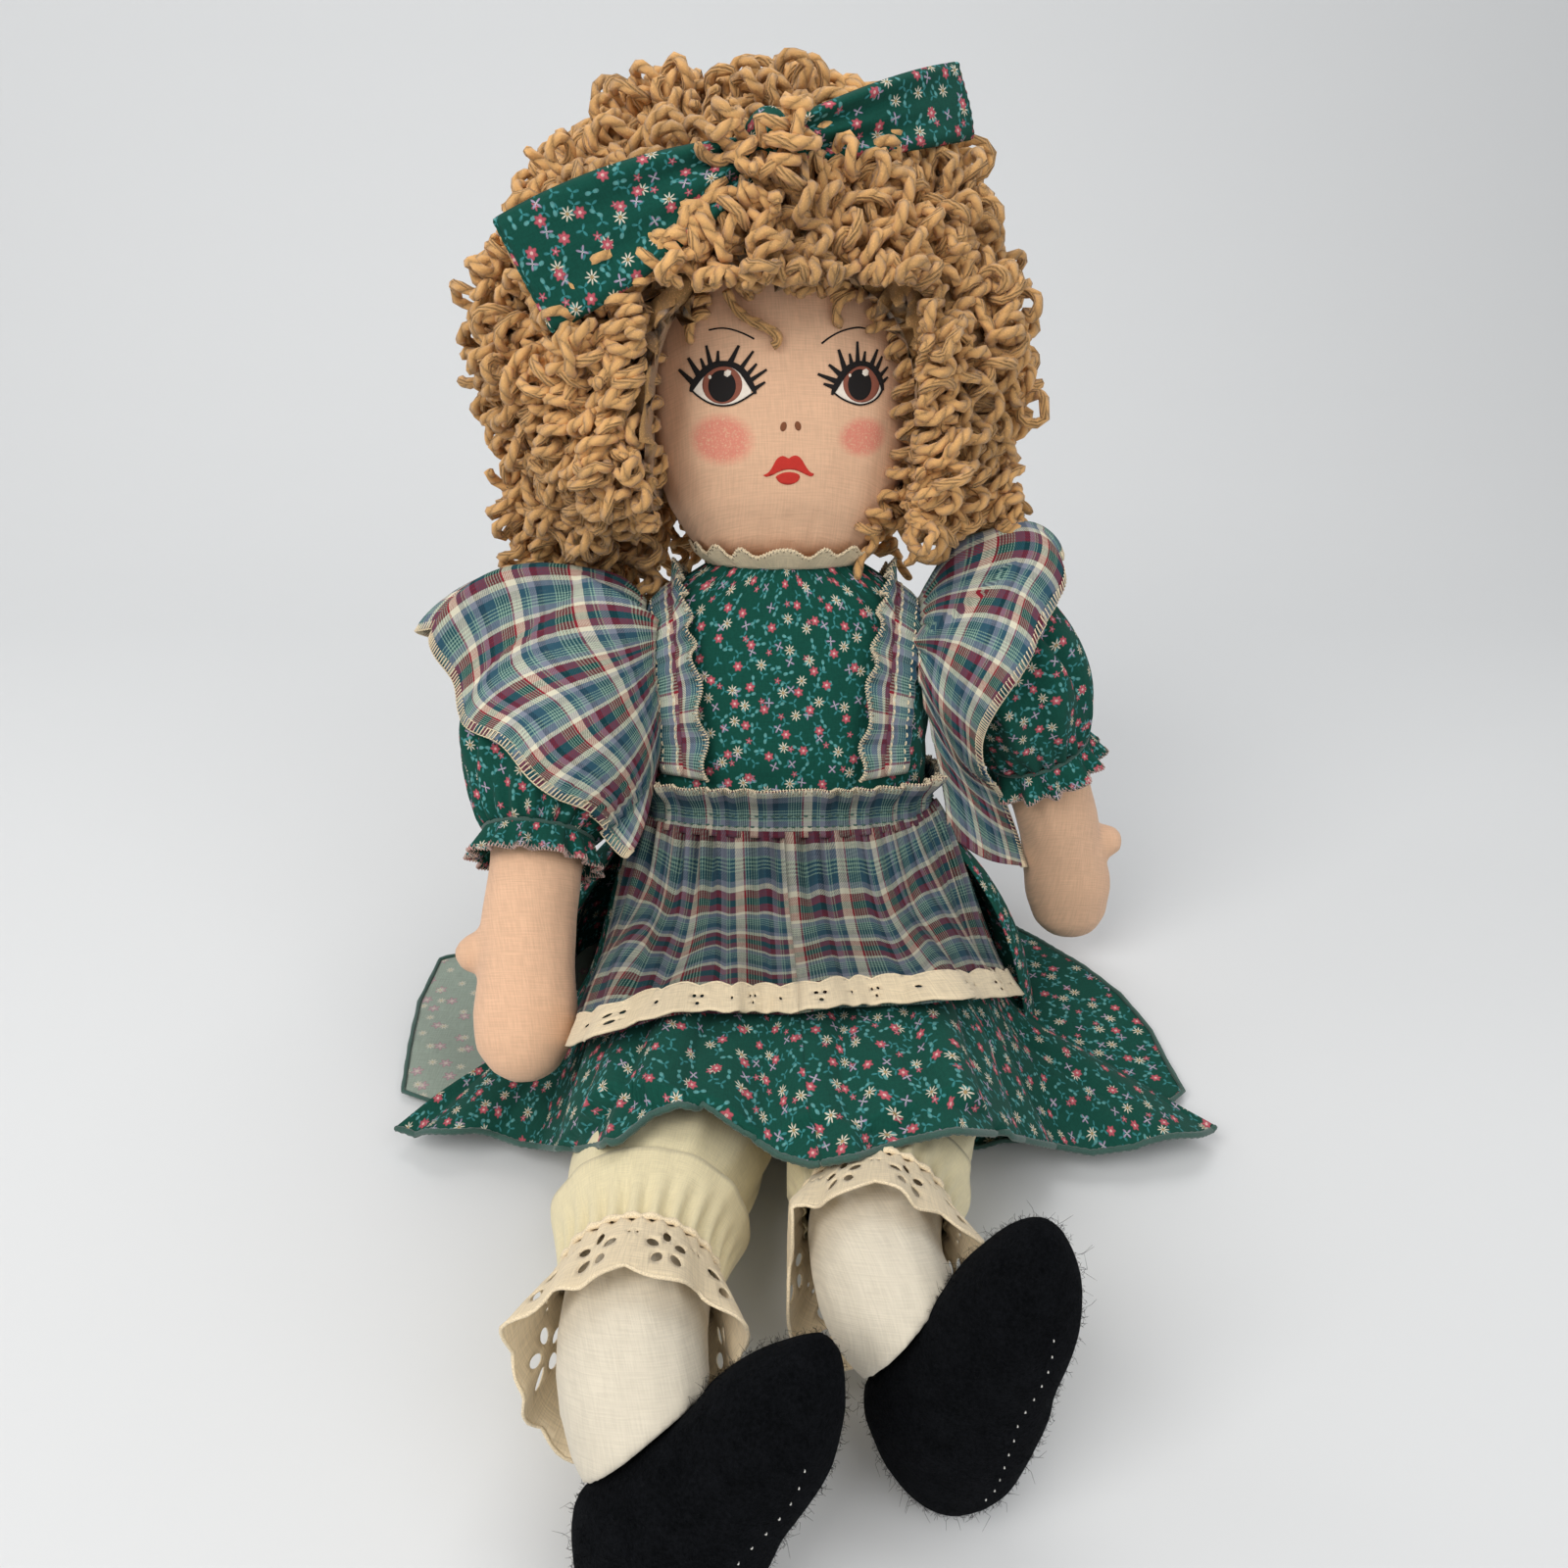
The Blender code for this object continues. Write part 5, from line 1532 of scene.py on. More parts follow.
def yarn(name, curls, *nodes, share=1.0):
    obj = cord("yarn_" + name, curls, sizes().yarn_radius * share, YARN_TWIST)
    finished(obj, "yarn", "head", "yarn", *nodes)


def make_wig():
    rng = random.Random(WIG_SEED)
    noise.seed_set(WIG_SEED)
    centre = head_centre() + WIG_OFFSET
    tree = surface_of("wig_crown")
    cap = stuffed("wig_cap", "wig_crown", 0.0035, 3)
    for vertex in cap.data.vertices:
        if vertex.normal.dot(vertex.co - centre) > 0.2 * (vertex.co - centre).length:
            vertex.co -= vertex.normal * CAP_SINK
        vertex.co.y += BROW_SINK * smooth(-1.4 * vertex.normal.y) * smooth((centre.y - vertex.co.y) / 0.010)
    finished(cap, "yarn", "head", "yarn", "wig_crown")
    groups = {}
    count = sizes().curl_count
    for i in range(count):
        z = 1 - 2 * (i + 0.5) / count
        ring = sqrt(1 - z * z)
        angle = GOLDEN_ANGLE * i + rng.uniform(-0.1, 0.1)
        way = Vector((ring * cos(angle), ring * sin(angle), z))
        spot, normal, _, _ = tree.ray_cast(centre + way * 0.2, -way, 0.2)
        if spot is None or (spot - centre).length < 0.052 or normal.dot(way) < 0.15:
            continue
        if spot.z < LOWEST_CURL_Z:
            continue
        if abs(spot.x) < FACE_HALF_WIDTH - 0.004 and spot.y < centre.y and spot.z < HAIRLINE_Z:
            continue
        length = rng.uniform(0.020, 0.044)
        fall = rng.uniform(0, 0.4) if spot.z > centre.z + 0.040 else rng.uniform(0.2, 1.1)
        radius = rng.uniform(0.0030, 0.0056)
        turns = length / rng.uniform(0.0068, 0.0125)
        curl = curl_on_wig(tree, centre, spot, normal, rng, length, radius, turns, fall)
        key = "front" if spot.y < 0.035 else "back"
        key += "_left" if spot.x > centre.x else "_right"
        key += "_high" if spot.z > centre.z + 0.02 else ""
        groups.setdefault(key, []).extend(kept_off_face(curl))
    for key, curls in sorted(groups.items()):
        yarn(key, curls, "wig_crown")
    for name, number, least, most in HANGING_CURLS:
        make_hanging_curls(name, number, least, most, rng)
    make_edge_curls(rng)


def kept_off_face(path):
    """The runs of a curl that don't lie in front of the face, below the hairline."""
    runs = [[]]
    for p in path:
        if abs(p.x) < FACE_HALF_WIDTH - 0.003 and p.y < 0.045 and p.z < HAIRLINE_Z - 0.003:
            runs.append([])
        else:
            runs[-1].append(p)
    return [run for run in runs if len(run) > 5]


# Each bunch of hanging curls: how many, and the least and most that they end above the foot of their solid
HANGING_CURLS = (("left", 34, 0.004, 0.020), ("right", 58, -0.026, 0.002), ("back", 52, -0.012, 0.008))
HANGING_TOP_Z = 0.212


def make_hanging_curls(name, number, least, most, rng):
    low, high = (Vector(corner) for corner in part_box("wig_curls_" + name))
    curls = []
    for _ in range(number):
        x = rng.uniform(low.x + 0.004, high.x - 0.004)
        y = rng.uniform(low.y + 0.002, high.y - 0.004)
        top = Vector((x, y, HANGING_TOP_Z + rng.uniform(0, 0.012)))
        drop = rng.uniform(least, most)
        bottom = Vector((x + rng.uniform(-0.006, 0.006), y + rng.uniform(-0.006, 0.006), low.z + drop))
        sway = rng.uniform(0, 9)
        ways = [noise.noise_vector(Vector((sway, t * 0.5, 4))) for t in range(8)]
        places = [top.lerp(bottom, t / 7) + way * 0.005 for t, way in enumerate(ways)]
        out = Vector((x, y - 0.06, 0)).normalized()
        radius = rng.uniform(0.0030, 0.0055)
        turns = (top - bottom).length / rng.uniform(0.0075, 0.0130)
        curls.append(coil(places, [out] * 8, radius, turns, rng, rng.uniform(0, 6), True))
    yarn("curls_" + name, curls, "wig_curls_" + name)


# Curls round the face: from one place in the picture to another, and the coil's radius
EDGE_CURLS = (
    (655, 330, 640, 400, 0.0060), (648, 395, 640, 460, 0.0060), (652, 455, 652, 520, 0.0060),
    (662, 505, 690, 560, 0.0060), (640, 560, 640, 625, 0.0060), (664, 310, 700, 280, 0.0055),
    (696, 290, 742, 272, 0.0050), (738, 282, 786, 274, 0.0058), (790, 270, 836, 284, 0.0050),
    (704, 288, 714, 326, 0.0058), (908, 292, 914, 332, 0.0058), (852, 280, 862, 306, 0.0052),
    (770, 274, 762, 300, 0.0052), (815, 272, 822, 300, 0.0055), (832, 276, 880, 286, 0.0058),
    (870, 282, 908, 302, 0.0050), (897, 296, 927, 332, 0.0058), (925, 325, 936, 390, 0.0060),
    (934, 385, 938, 450, 0.0060), (935, 445, 925, 510, 0.0060), (920, 505, 885, 555, 0.0058),
)
# How many pixels in from the hair's edge each row of them lies; only those lower than this repeat
EDGE_SHIFTS = (14, 4, -8)
REPEATED_BELOW = 308
# Loose ends on the forehead: places in the picture, and millimetres off the face
LOOSE_ENDS = (
    ((742, 296, 7), (747, 310, 4), (758, 324, 3), (778, 333, 3), (793, 341, 3), (794, 350, 2), (788, 354, 2)),
    ((868, 286, 6), (874, 294, 4), (864, 299, 3), (868, 307, 2)),
    ((800, 284, 7), (808, 292, 4), (800, 298, 3)),
)


def edge_curl(head, x0, y0, x1, y1, shift):
    """Places along one curl beside the face, and the ways back to the camera from them."""
    places = []
    normals = []
    for k in range(6):
        px, py = x0 + (x1 - x0) * k / 5, y0 + (y1 - y0) * k / 5
        px += (shift if px < 700 else 4 - shift if px > 890 else 0) * (py > 310)
        spot = on_surface(head, min(max(px, 676), 914), min(py, 556))
        if spot is None:
            continue
        way = sight(px, py)
        depth = (spot - CAMERA_PLACE).length - 0.004 + 0.0002 * (EDGE_SHIFTS[0] - shift)
        places.append(CAMERA_PLACE + way * depth)
        normals.append(-way)
    return places, normals


def make_edge_curls(rng):
    head = surface_of("stuffed_head")
    curls = []
    for shift in EDGE_SHIFTS:
        for x0, y0, x1, y1, radius in EDGE_CURLS:
            if shift != EDGE_SHIFTS[0] and y0 <= REPEATED_BELOW:
                continue
            places, normals = edge_curl(head, x0, y0, x1, y1, shift)
            if len(places) > 2:
                turns, start, loose = rng.uniform(2.6, 3.8), rng.uniform(0, 6), rng.random() < 0.5
                curls.append(coil(places, normals, radius * 0.64, turns, rng, start, loose))
    for line in LOOSE_ENDS:
        ends = [(on_surface(head, px, py), lift) for px, py, lift in smooth_line(line)]
        curls.append([spot + Vector((0, -lift * 0.001, 0.0004)) for spot, lift in ends if spot])
    yarn("round_face", curls, "wig_crown", share=0.92)


# Bow
BOW_ANGLES = {"left": (12, 34), "right": (-25, -10)}
BOW_REACH = {"left": 0.073, "right": 0.079}


def bow_centre():
    """A place on the wig's rounded form, in front and near its top."""
    rest = max(1 - 0.06**2.2 - 0.77**2.2, 0) ** (1 / 2.2)
    return head_centre() + WIG_OFFSET + Vector((0.06 * WIG_HALF.x, -rest * WIG_HALF.y, 0.77 * WIG_HALF.z))


def bow_at(side, u, v, layer=0.0):
    rise, back = (radians(angle) for angle in BOW_ANGLES[side])
    level = cos(rise)
    along = Vector((SIDES[side] * level * cos(back), level * sin(back), sin(rise)))
    out = Vector((0, -1, 0))
    out = (out - along * out.dot(along)).normalized()
    across = along.cross(out)
    start = bow_centre() + along * 0.0070 + out * 0.0028
    width = 0.0130 + (BOW_REACH[side] * 2.1 - 0.1425) * sin(u * pi / 2) ** 0.8
    pleats = (1 - u) ** 1.5 * 0.0022 * sin(v * tau * 2.5) + 0.0011 * sin(u * 5 + v * 4)
    fall = 0.0080 * sin(u * pi)
    spot = start + along * (BOW_REACH[side] * u) + across * (width * (v - 0.5))
    return spot + out * (pleats + fall + layer)


# Curls that lie over the bow's knot: across, up and radius
BOW_CURLS = (
    (-0.006, 0.004, 0.0058), (0.003, 0.008, 0.0062), (0.006, -0.002, 0.0055), (-0.001, -0.004, 0.0052),
    (-0.010, 0.012, 0.0060), (0.010, 0.013, 0.0060),
)


def bow_knot(s, t):
    angle = tau * s
    x = (t - 0.5) * 0.016
    radius = 0.0088 + 0.0012 * cos(x * 260) + 0.0007 * sin(angle * 7 + t * 5)
    radius *= 1 - 0.55 * abs(2 * t - 1) ** 3
    return bow_centre() + Vector((x, -cos(angle) * radius, sin(angle) * radius * 1.1))


def make_bow():
    for side in SIDES:
        def at(s, t, side=side):
            turn = 2 * s if s < 0.5 else 2 - 2 * s
            face = 1 if s < 0.5 else -1
            return bow_at(side, t, turn, face * 0.0013 * smooth(min(turn, 1 - turn) / 0.08))

        obj = panel("bow_strip_" + side, at, 72, 48, True, 0.0005)
        declare(finished(obj, "floral", "head", "floral", "bow_" + side))
        end = cord("bow_end_" + side, [[bow_at(side, 1.0, k / 40) for k in range(41)]], 0.0012, 0.003)
        finished(end, "floral", "head", "floral", "bow_" + side)

    obj = finished(panel("bow_band", bow_knot, 60, 20, True, 0.0008), "floral", "head", "floral", "bow_knot")
    declare(obj)
    rng = random.Random(31)
    curls = []
    for dx, dz, radius in BOW_CURLS:
        start = bow_centre() + Vector((dx, -0.0125, dz))
        ways = [Vector((rng.uniform(-1, 1), 0, -1)).normalized() for _ in range(5)]
        places = [start + way * (0.012 * k / 4) for k, way in enumerate(ways)]
        normals = [Vector((0, -1, 0.2))] * 5
        curls.append(coil(places, normals, radius * 0.66, 2.2, rng, rng.uniform(0, 6), True))
    yarn("over_bow", curls)


# Sleeves
SLEEVE_FULLNESS = {"left": 0.50, "right": 1.0}


def sleeve_at(side):
    def at(s, t):
        share = SLEEVE_SHARES[side] * (0.03 + 0.97 * t)
        place, heading, across, front = framed(*arm_at(side, share))
        angle = tau * s
        slow = ring_noise(angle, 1.6, 3.0 + SIDES[side] + t * 1.5)
        gather = smooth((t - 0.72) / 0.25) * 0.0013 * sin(22 * angle)
        gather += (1 - smooth(t / 0.3)) * 0.0009 * sin(18 * angle)
        folds = 0.0028 * sin(pi * min(t, 1)) * sin(7 * angle + 5 * slow) + 0.0026 * slow
        radius = arm_radius(share) + GAP + CUFF_WALL + sleeve_puff(t) * SLEEVE_FULLNESS[side] + gather
        radius += folds * (1 - smooth((t - 0.85) / 0.15))
        spot = place + way_round(across, front, angle) * radius
        keep_aside(spot, side, shoulder_plane_x() + 0.0006)
        return spot

    return at


def shoulder_blend(obj, side):
    x = shoulder_plane_x()
    centre = shoulder(side)
    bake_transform(obj)


def make_sleeve(side):
    obj = panel("sleeve_puff_" + side, sleeve_at(side), 176, 60, True)
    declare(finished(obj, "floral", None, "floral", "sleeve_" + side))
    shoulder_blend(obj, side)
    share = SLEEVE_SHARES[side]
    place, heading, across, front = framed(*arm_at(side, share))
    base = arm_radius(share) + GAP + CUFF_WALL + 0.0004

    def frill(s, t):
        angle = tau * s
        radius = base + t * (0.0036 + 0.0024 * sin(13 * angle + 3 * ring_noise(angle, 2, 8.0)))
        return place + heading * (0.0115 * t) + way_round(across, front, angle) * radius

    body = "arm_" + side
    obj = panel("cuff_ruffle_" + side, frill, 200, 10, True)
    finished(obj, "floral", body, "floral", "cuff_frill_" + side)
    declare(obj)
    path = edge_path(frill, 1.0, 220, 0.8)
    overlock("cuff_edging_" + side, path, "pink_thread", body, "floral", 0.0018, 0.0011, 0.0003)
    middle = place + heading * 0.0004
    ring = [middle + way_round(across, front, tau * i / 60) * (base + 0.0005) for i in range(61)]
    finished(cord("cuff_elastic_" + side, [ring], 0.0008, 0.0024), "hem_thread", body, "floral")


# Bloomers and lace
BLOOMER_PUFF = 0.0106


def bloomer_at(side):
    def at(s, t):
        share = (-0.145 + 1.145 * t) * BLOOMER_SHARES[side]
        place, heading, across, front = framed(*leg_at(side, max(share, 0)))
        if share < 0:
            place = place + heading * (share * (Vector(ANKLE[side]) - hip(side)).length)
        angle = tau * s
        puff = 0.86 * (1 - smooth((t - 0.72) / 0.28))
        if t < 0.78:
            puff = sin(pi * min(t * 1.12 + 0.12, 1)) ** 0.6
        puff *= BLOOMER_PUFF
        slow = ring_noise(angle, 1.5, 5.0 + SIDES[side] + t * 2)
        folds = 0.0013 * sin(7 * angle + 6 * slow) * sin(pi * min(t, 1)) ** 2 + 0.0028 * slow
        folds *= 1 - smooth((t - 0.85) / 0.15)
        gather = smooth((t - 0.82) / 0.16) * 0.0012 * sin(24 * angle)
        radius = leg_radius(max(share, 0)) + CLOTH + GAP + gather
        wide = radius + puff + folds
        high = radius + puff * 0.30 + folds * 0.6
        spot = place + across * (cos(angle) * wide) + front * (sin(angle) * high)
        spot.z = max(spot.z, 0.0020 + 0.0006 * sin(11 * angle))
        keep_aside(spot, side, 0.0012)
        return spot

    return at


def scallop(x, flowers):
    """The height of the scalloped edge across one repeat."""
    if flowers:
        return 0.88 + 0.12 * sin(pi * x)
    return 0.84 + 0.16 * abs(sin(tau * (x + 0.25)))


def eyelet_cell(flowers):
    """One repeat of the scalloped eyelet, in a square: its points, its faces and the rims of its holes."""
    steps = 12 if flowers else 10
    outline = [(i / steps, 0.0) for i in range(steps)]
    side = scallop(0, flowers)
    outline += [(1.0, side * i / steps) for i in range(steps)]
    outline += [(1 - i / 20, scallop(1 - i / 20, flowers)) for i in range(20)]
    outline += [(0.0, side * (1 - i / steps)) for i in range(steps)]
    if flowers:
        turns = [tau * k / 5 - pi / 2 for k in range(5)]
        holes = []
        for turn in turns:
            x, y = 0.5 + 0.21 * cos(turn), 0.52 + 0.21 * sin(turn)
            holes.append(ring_of(x, y, 0.105, 0.078, turn, 12))
        holes += [ring_of(0.06, 0.30, 0.035, 0.035, 0, 8), ring_of(0.94, 0.30, 0.035, 0.035, 0, 8)]
    else:
        places = ((0.20, 0.52), (0.30, 0.52), (0.25, 0.28), (0.75, 0.46))
        holes = [ring_of(x, y, 0.036, 0.075, 0, 10) for x, y in places]
    rings = [outline] + holes
    corners = [Vector(p) for ring in rings for p in ring]
    edges = []
    base = 0
    for ring in rings:
        edges += [(base + i, base + (i + 1) % len(ring)) for i in range(len(ring))]
        base += len(ring)
    corners += [Vector((x / steps, y / steps)) for x in range(1, steps) for y in range(1, steps)]
    spots, _, triangles, *_ = geometry.delaunay_2d_cdt(corners, edges, [list(range(len(outline)))], 1, 1e-5)
    kept = []
    for triangle in triangles:
        middle = sum((spots[k] for k in triangle), Vector((0, 0))) / 3
        if not any(inside(middle, hole) for hole in holes):
            kept.append(triangle)
    return spots, kept, holes


def inside(p, ring):
    found = False
    for (ax, ay), (bx, by) in zip(ring, ring[1:] + ring[:1]):
        if (ay > p[1]) != (by > p[1]) and p[0] < (bx - ax) * (p[1] - ay) / (by - ay) + ax:
            found = not found
    return found


LACE_STEPS = 12


def eyelet(name, at, cells, closed=False, flowers=True):
    """A scalloped eyelet edging through at(s, t), with its holes cut and their rims worked over."""
    spots, triangles, holes = eyelet_cell(flowers)
    number = cells * LACE_STEPS
    rows = [[at(i / number, t) for i in range(number + 1)] for t in (0, 0.5, 1)]
    across = max(row_length(row) for row in rows)
    down = row_length([at(0.5, k / 6) for k in range(7)])
    points = []
    faces = []
    flat = []
    rims = []
    for cell in range(cells):
        base = len(points)
        for spot in spots:
            s = (cell + spot.x) / cells
            points.append(at(s % 1.0 if closed else s, spot.y))
            flat.append((s * across, spot.y * down))
        faces += [[base + k for k in triangle] for triangle in triangles]
        for hole in holes:
            rims.append([at(min((cell + x) / cells, 1.0), y) for x, y in hole + hole[:1]])
    obj = mesh_object(name, points, faces, flat)
    welded(obj, 0.00003, True)
    CUTS[name] = (across, down, sum(face.area for face in obj.data.polygons))
    apply_modifier(obj, "SOLIDIFY", thickness=0.0006, offset=0)
    rim = tube(name + "_rims", rims, 0.00030, 4, taper=False)
    heights = [scallop(i / LACE_STEPS % 1, flowers) - 0.01 for i in range(number + 1)]
    scallops = [at(min(i / number, 1.0), height) for i, height in enumerate(heights)]
    edge = tube(name + "_edge", [scallops], 0.00052, 5, 2, 0.0016)
    return coated(obj, "lace"), [coated(rim, "edging"), coated(edge, "edging")]


def lace_sheet(lace, parts, node):
    """Declares an eyelet as a gathered sheet, with the rims of its holes and its edge."""
    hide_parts(node)
    across, down, area = CUTS[lace.name]
    area = max(area, across * down * 0.31)
    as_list(parts)
    for part in parts:
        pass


def make_bloomer(side):
    body = "leg_" + side
    obj = panel("bloomer_puff_" + side, bloomer_at(side), 190, 72, True)
    finished(obj, "bloomers", body, "cream", "bloomer_leg_" + side)
    declare(obj)
    place, heading, across, front = framed(*leg_at(side, BLOOMER_SHARES[side]))
    start = leg_radius(BLOOMER_SHARES[side]) + GAP + CLOTH

    def frill(s, t):
        angle = tau * s
        slow = ring_noise(angle, 1.7, 2.0 + SIDES[side])
        wave = sin(5 * angle + 3 * slow)
        top = max(sin(angle), 0)
        radius = start + t * (0.0100 - 0.0062 * top + (0.0032 * wave + 0.003 * slow) * (1 - 0.5 * top))
        radius += (1 - smooth(t / 0.3)) * 0.0007 * sin(26 * angle)
        spot = place + heading * (0.0275 * t ** 1.1) + way_round(across, front, angle) * radius
        spot.z = max(spot.z, 0.0024 + 0.0012 * (1 + sin(5 * angle)) * t)
        keep_aside(spot, side, 0.0010 + 0.0006 * t * (1 + wave))
        return spot

    lace, parts = eyelet("lace_ruffle_" + side, frill, 8, True)
    for piece in (lace, *parts):
        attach(piece, body)
    lace_sheet(lace, parts, "lace_cuff_" + side)
    ring = []
    for i in range(91):
        angle = tau * i / 90
        out = way_round(across, front, angle)
        spot = place + out * (start + 0.0006 + 0.0005 * sin(24 * angle)) - heading * 0.0004
        spot.z = max(spot.z, 0.0026)
        ring.append(spot)
    finished(cord("bloomer_elastic_" + side, [ring], 0.0010, 0.0026), "edging", body, "ivory")


# Pinafore
# The apron's lower edge, as places in the picture
APRON_LINE = (
    (590, 1068), (607, 1063), (673, 1041), (706, 1036), (805, 1038), (855, 1031), (938, 1027), (1034, 1018),
    (1060, 1015), (1096, 997), (1106, 984),
)
TRIM_PIXELS = 31


def apron_cloth(across, v, lift=0.0):
    slow = noise_at(across * 3.3, v * 1.4, 6.0)
    fold = smooth(v * 2) * (0.0026 + 0.0022 * sin(tau * (3.1 * across + 0.35 * slow) + 0.4))
    fold += (1 - smooth(v / 0.25)) * 0.0013 * (1 + sin(tau * 12 * across))
    return skirt_at(across * APRON_SPREAD_SHARE * (1 + 0.26 * max(across, 0)), v, 0.0026 + fold + lift)


@functools.cache
def apron_reach(across, above):
    """How far down the skirt the apron's edge comes, or the line this many pixels above it."""
    low, high = 0.25, 1.0
    for _ in range(18):
        middle = (low + high) / 2
        px, py = seen_at(apron_cloth(across, middle))
        low, high = (middle, high) if py < line_height(APRON_LINE, px) - above else (low, middle)
    return low


def apron_at(across, v):
    return apron_cloth(across, v * apron_reach(round(across, 4), 0))


def apron_band(s, t):
    """The waistband and the gathered ruffle at its upper edge."""
    share = WAIST_SHARE + (-0.0035 + 0.0185 * t) / TORSO_LENGTH
    up = smooth((t - 0.50) / 0.5)
    wave = (0.0006 + 0.0021 * up) * sin(tau * (34 * s + 0.8 * ring_noise(tau * s, 3, 1.0)))
    flare = 0.0042 * up + 0.0015 * smooth((0.4 - t) / 0.4)
    return outside_torso(90 + 360 * (s - 0.5), share, LAYER_GAP + CLOTH / 2 + 0.0024 + wave + flare)


def make_apron():
    for side in SIDES:
        low, high = half(side)

        def cloth(s, t, low=low, high=high):
            return apron_at(low + (high - low) * s, 0.01 + 0.97 * t)

        obj = panel("apron_skirt_" + side, cloth, 110, 80)
        # The apron's cloth is the madras with painted shade
        declare(finished(obj, "plaid_painted_shade", None, "plaid", "apron_skirt"))
        hip_blend(obj, side)

        def trim(s, t, low=low, high=high):
            across = low + (high - low) * s
            wave = 0.0005 * (1 + sin(tau * 12 * across)) * (1 - t)
            here = round(across, 4)
            foot, top = apron_reach(here, 0), apron_reach(here, TRIM_PIXELS)
            return apron_cloth(across, foot + (top - foot) * t, 0.0013 + wave)

        lace, parts = eyelet("apron_eyelet_" + side, trim, 5, flowers=False)
        lace_sheet(lace, parts, "apron_trim")
        for piece in (lace, *parts):
            hip_blend(piece, side)

    obj = panel("apron_band", apron_band, 340, 18, True)
    # The waistband is the madras with painted shade too
    finished(obj, "plaid_painted_shade", "torso", "plaid", "apron_waistband")
    declare(obj)
    path = edge_path(apron_band, 1.0, 340, 0.85)
    overlock("apron_band_edging", path, "edging", "torso", "plaid", 0.0016, 0.0012, 0.00028)
    centre = spine(WAIST_SHARE)[0]
    for number, t in enumerate((0.24, 0.46)):
        row = []
        for i in range(361):
            here = apron_band(i / 360 % 1.0, t)
            row.append((here, Vector((here.x - centre.x, here.y - centre.y, 0)).normalized()))
        stitches = running_stitch(f"apron_gathers_{number}", row, 0.0007, 0.0019, 0.0030, 0.00034)
        finished(stitches, "hem_thread", "torso", "plaid")


def make_strap(side):
    def strap(s, t):
        gathers = 0.0009 * abs(sin(pi * 26 * s))
        return over_shoulder(side, strap_x(s) + STRAP_WIDTH * (t - 0.5), s, LAYER_GAP + CLOTH / 2 + gathers)

    obj = panel("shoulder_strap_" + side, strap, 160, 10)
    finished(obj, "plaid", "torso", "plaid", "strap_" + side)
    declare(obj)
    for number, t in enumerate((0.22, 0.78)):
        row = []
        for i in range(161):
            s = i / 160
            away = over_shoulder(side, strap_x(s), s, 0.01) - over_shoulder(side, strap_x(s), s, 0.0)
            row.append((strap(s, t), away.normalized()))
        seam = running_stitch(f"strap_gathers_{side}_{number}", row, 0.0007, 0.0022, 0.0031, 0.00033)
        finished(seam, "edging", "torso", "ivory")

    def frill(s, t):
        x = strap_x(s) - STRAP_WIDTH * 0.5 + GAP
        base = over_shoulder(side, x, s, LAYER_GAP + CLOTH)
        narrow = 0.40 + 0.60 * abs(2 * s - 1)
        inward = over_shoulder(side, x - 0.0105 * t * narrow, s, LAYER_GAP + CLOTH)
        normal = (over_shoulder(side, x, s, LAYER_GAP * 3) - base).normalized()
        slow = noise_at(s * 9, 4.0 + SIDES[side], 0)
        wave = 0.0030 * sin(tau * (14 * s + 0.5 * slow))
        return inward + normal * (t * (0.0040 + wave))

    obj = panel("inner_ruffle_" + side, frill, 220, 10)
    finished(obj, "plaid", "torso", "plaid", "inner_frill_" + side)
    declare(obj)
    path = edge_path(frill, 1.0, 240, 0.8)
    overlock("inner_edging_" + side, path, "edging", "torso", "ivory", 0.0020, 0.0012, 0.0003)


WING_REACH_SHARES = {"left": 0.26, "right": 0.36}
WING_CLEARANCE = 0.0040
SLEEVE_RINGS = 24
UPPER_ARM = ARM_RADIUS * 1.08 + GAP + CUFF_WALL


@functools.cache
def sleeve_rings(side):
    """Places, headings and radii along the sleeve, and a little past its ends."""
    rings = []
    for i in range(-1, SLEEVE_RINGS + 2):
        puff = sleeve_puff(min(max(i / SLEEVE_RINGS, 0), 1))
        rings.append((*arm_at(side, SLEEVE_SHARES[side] * i / SLEEVE_RINGS), UPPER_ARM + puff))
    return rings


def outside_sleeve(side, spot, distance):
    reach = (Vector(HAND_TIP[side]) - shoulder(side)).length * SLEEVE_SHARES[side] / SLEEVE_RINGS
    for _ in range(2):
        for place, heading, radius in sleeve_rings(side):
            away = spot - place
            along = away.dot(heading)
            across = away - heading * along
            radius += distance
            if abs(along) < reach and across.length < radius:
                spot = place + heading * along + across.normalized() * radius
    return spot


# The front edge of each flounce, as places in the picture from the waist to the shoulder
WING_EDGES = {
    "right": ((640, 868), (600, 835), (560, 800), (520, 766), (488, 742), (466, 705), (452, 668), (446, 640)),
    "left": (
        (1046, 880), (1034, 835), (1010, 785), (1000, 748), (1014, 715), (1046, 668), (1072, 615), (1082, 572),
    ),
}


@functools.cache
def wing_edge(side):
    """The flounce's front edge in space, just outside what it lies on."""
    trees = [surface_of(name) for name in ("sleeve_" + side, "arm_" + side, "bodice_front")]
    ways = [sight(px, py) for px, py in smooth_line(WING_EDGES[side], 3)]
    depths = []
    for way in ways:
        hits = [tree.ray_cast(CAMERA_PLACE, way)[0] for tree in trees]
        depths.append(min(((hit - CAMERA_PLACE).length for hit in hits if hit), default=None))
    known = [(i, depth) for i, depth in enumerate(depths) if depth]
    depths = [min(known, key=lambda pair: abs(pair[0] - i))[1] - 0.0060 for i in range(len(depths))]
    for _ in range(12):
        eased = [(x + 2 * y + z) / 4 for x, y, z in zip(depths, depths[1:], depths[2:])]
        depths = [depths[0], *eased, depths[-1]]
    return [CAMERA_PLACE + way * depth for way, depth in zip(ways, depths)]


# A place in the picture on the left flounce's lower end
WING_FOOT = (966, 846)


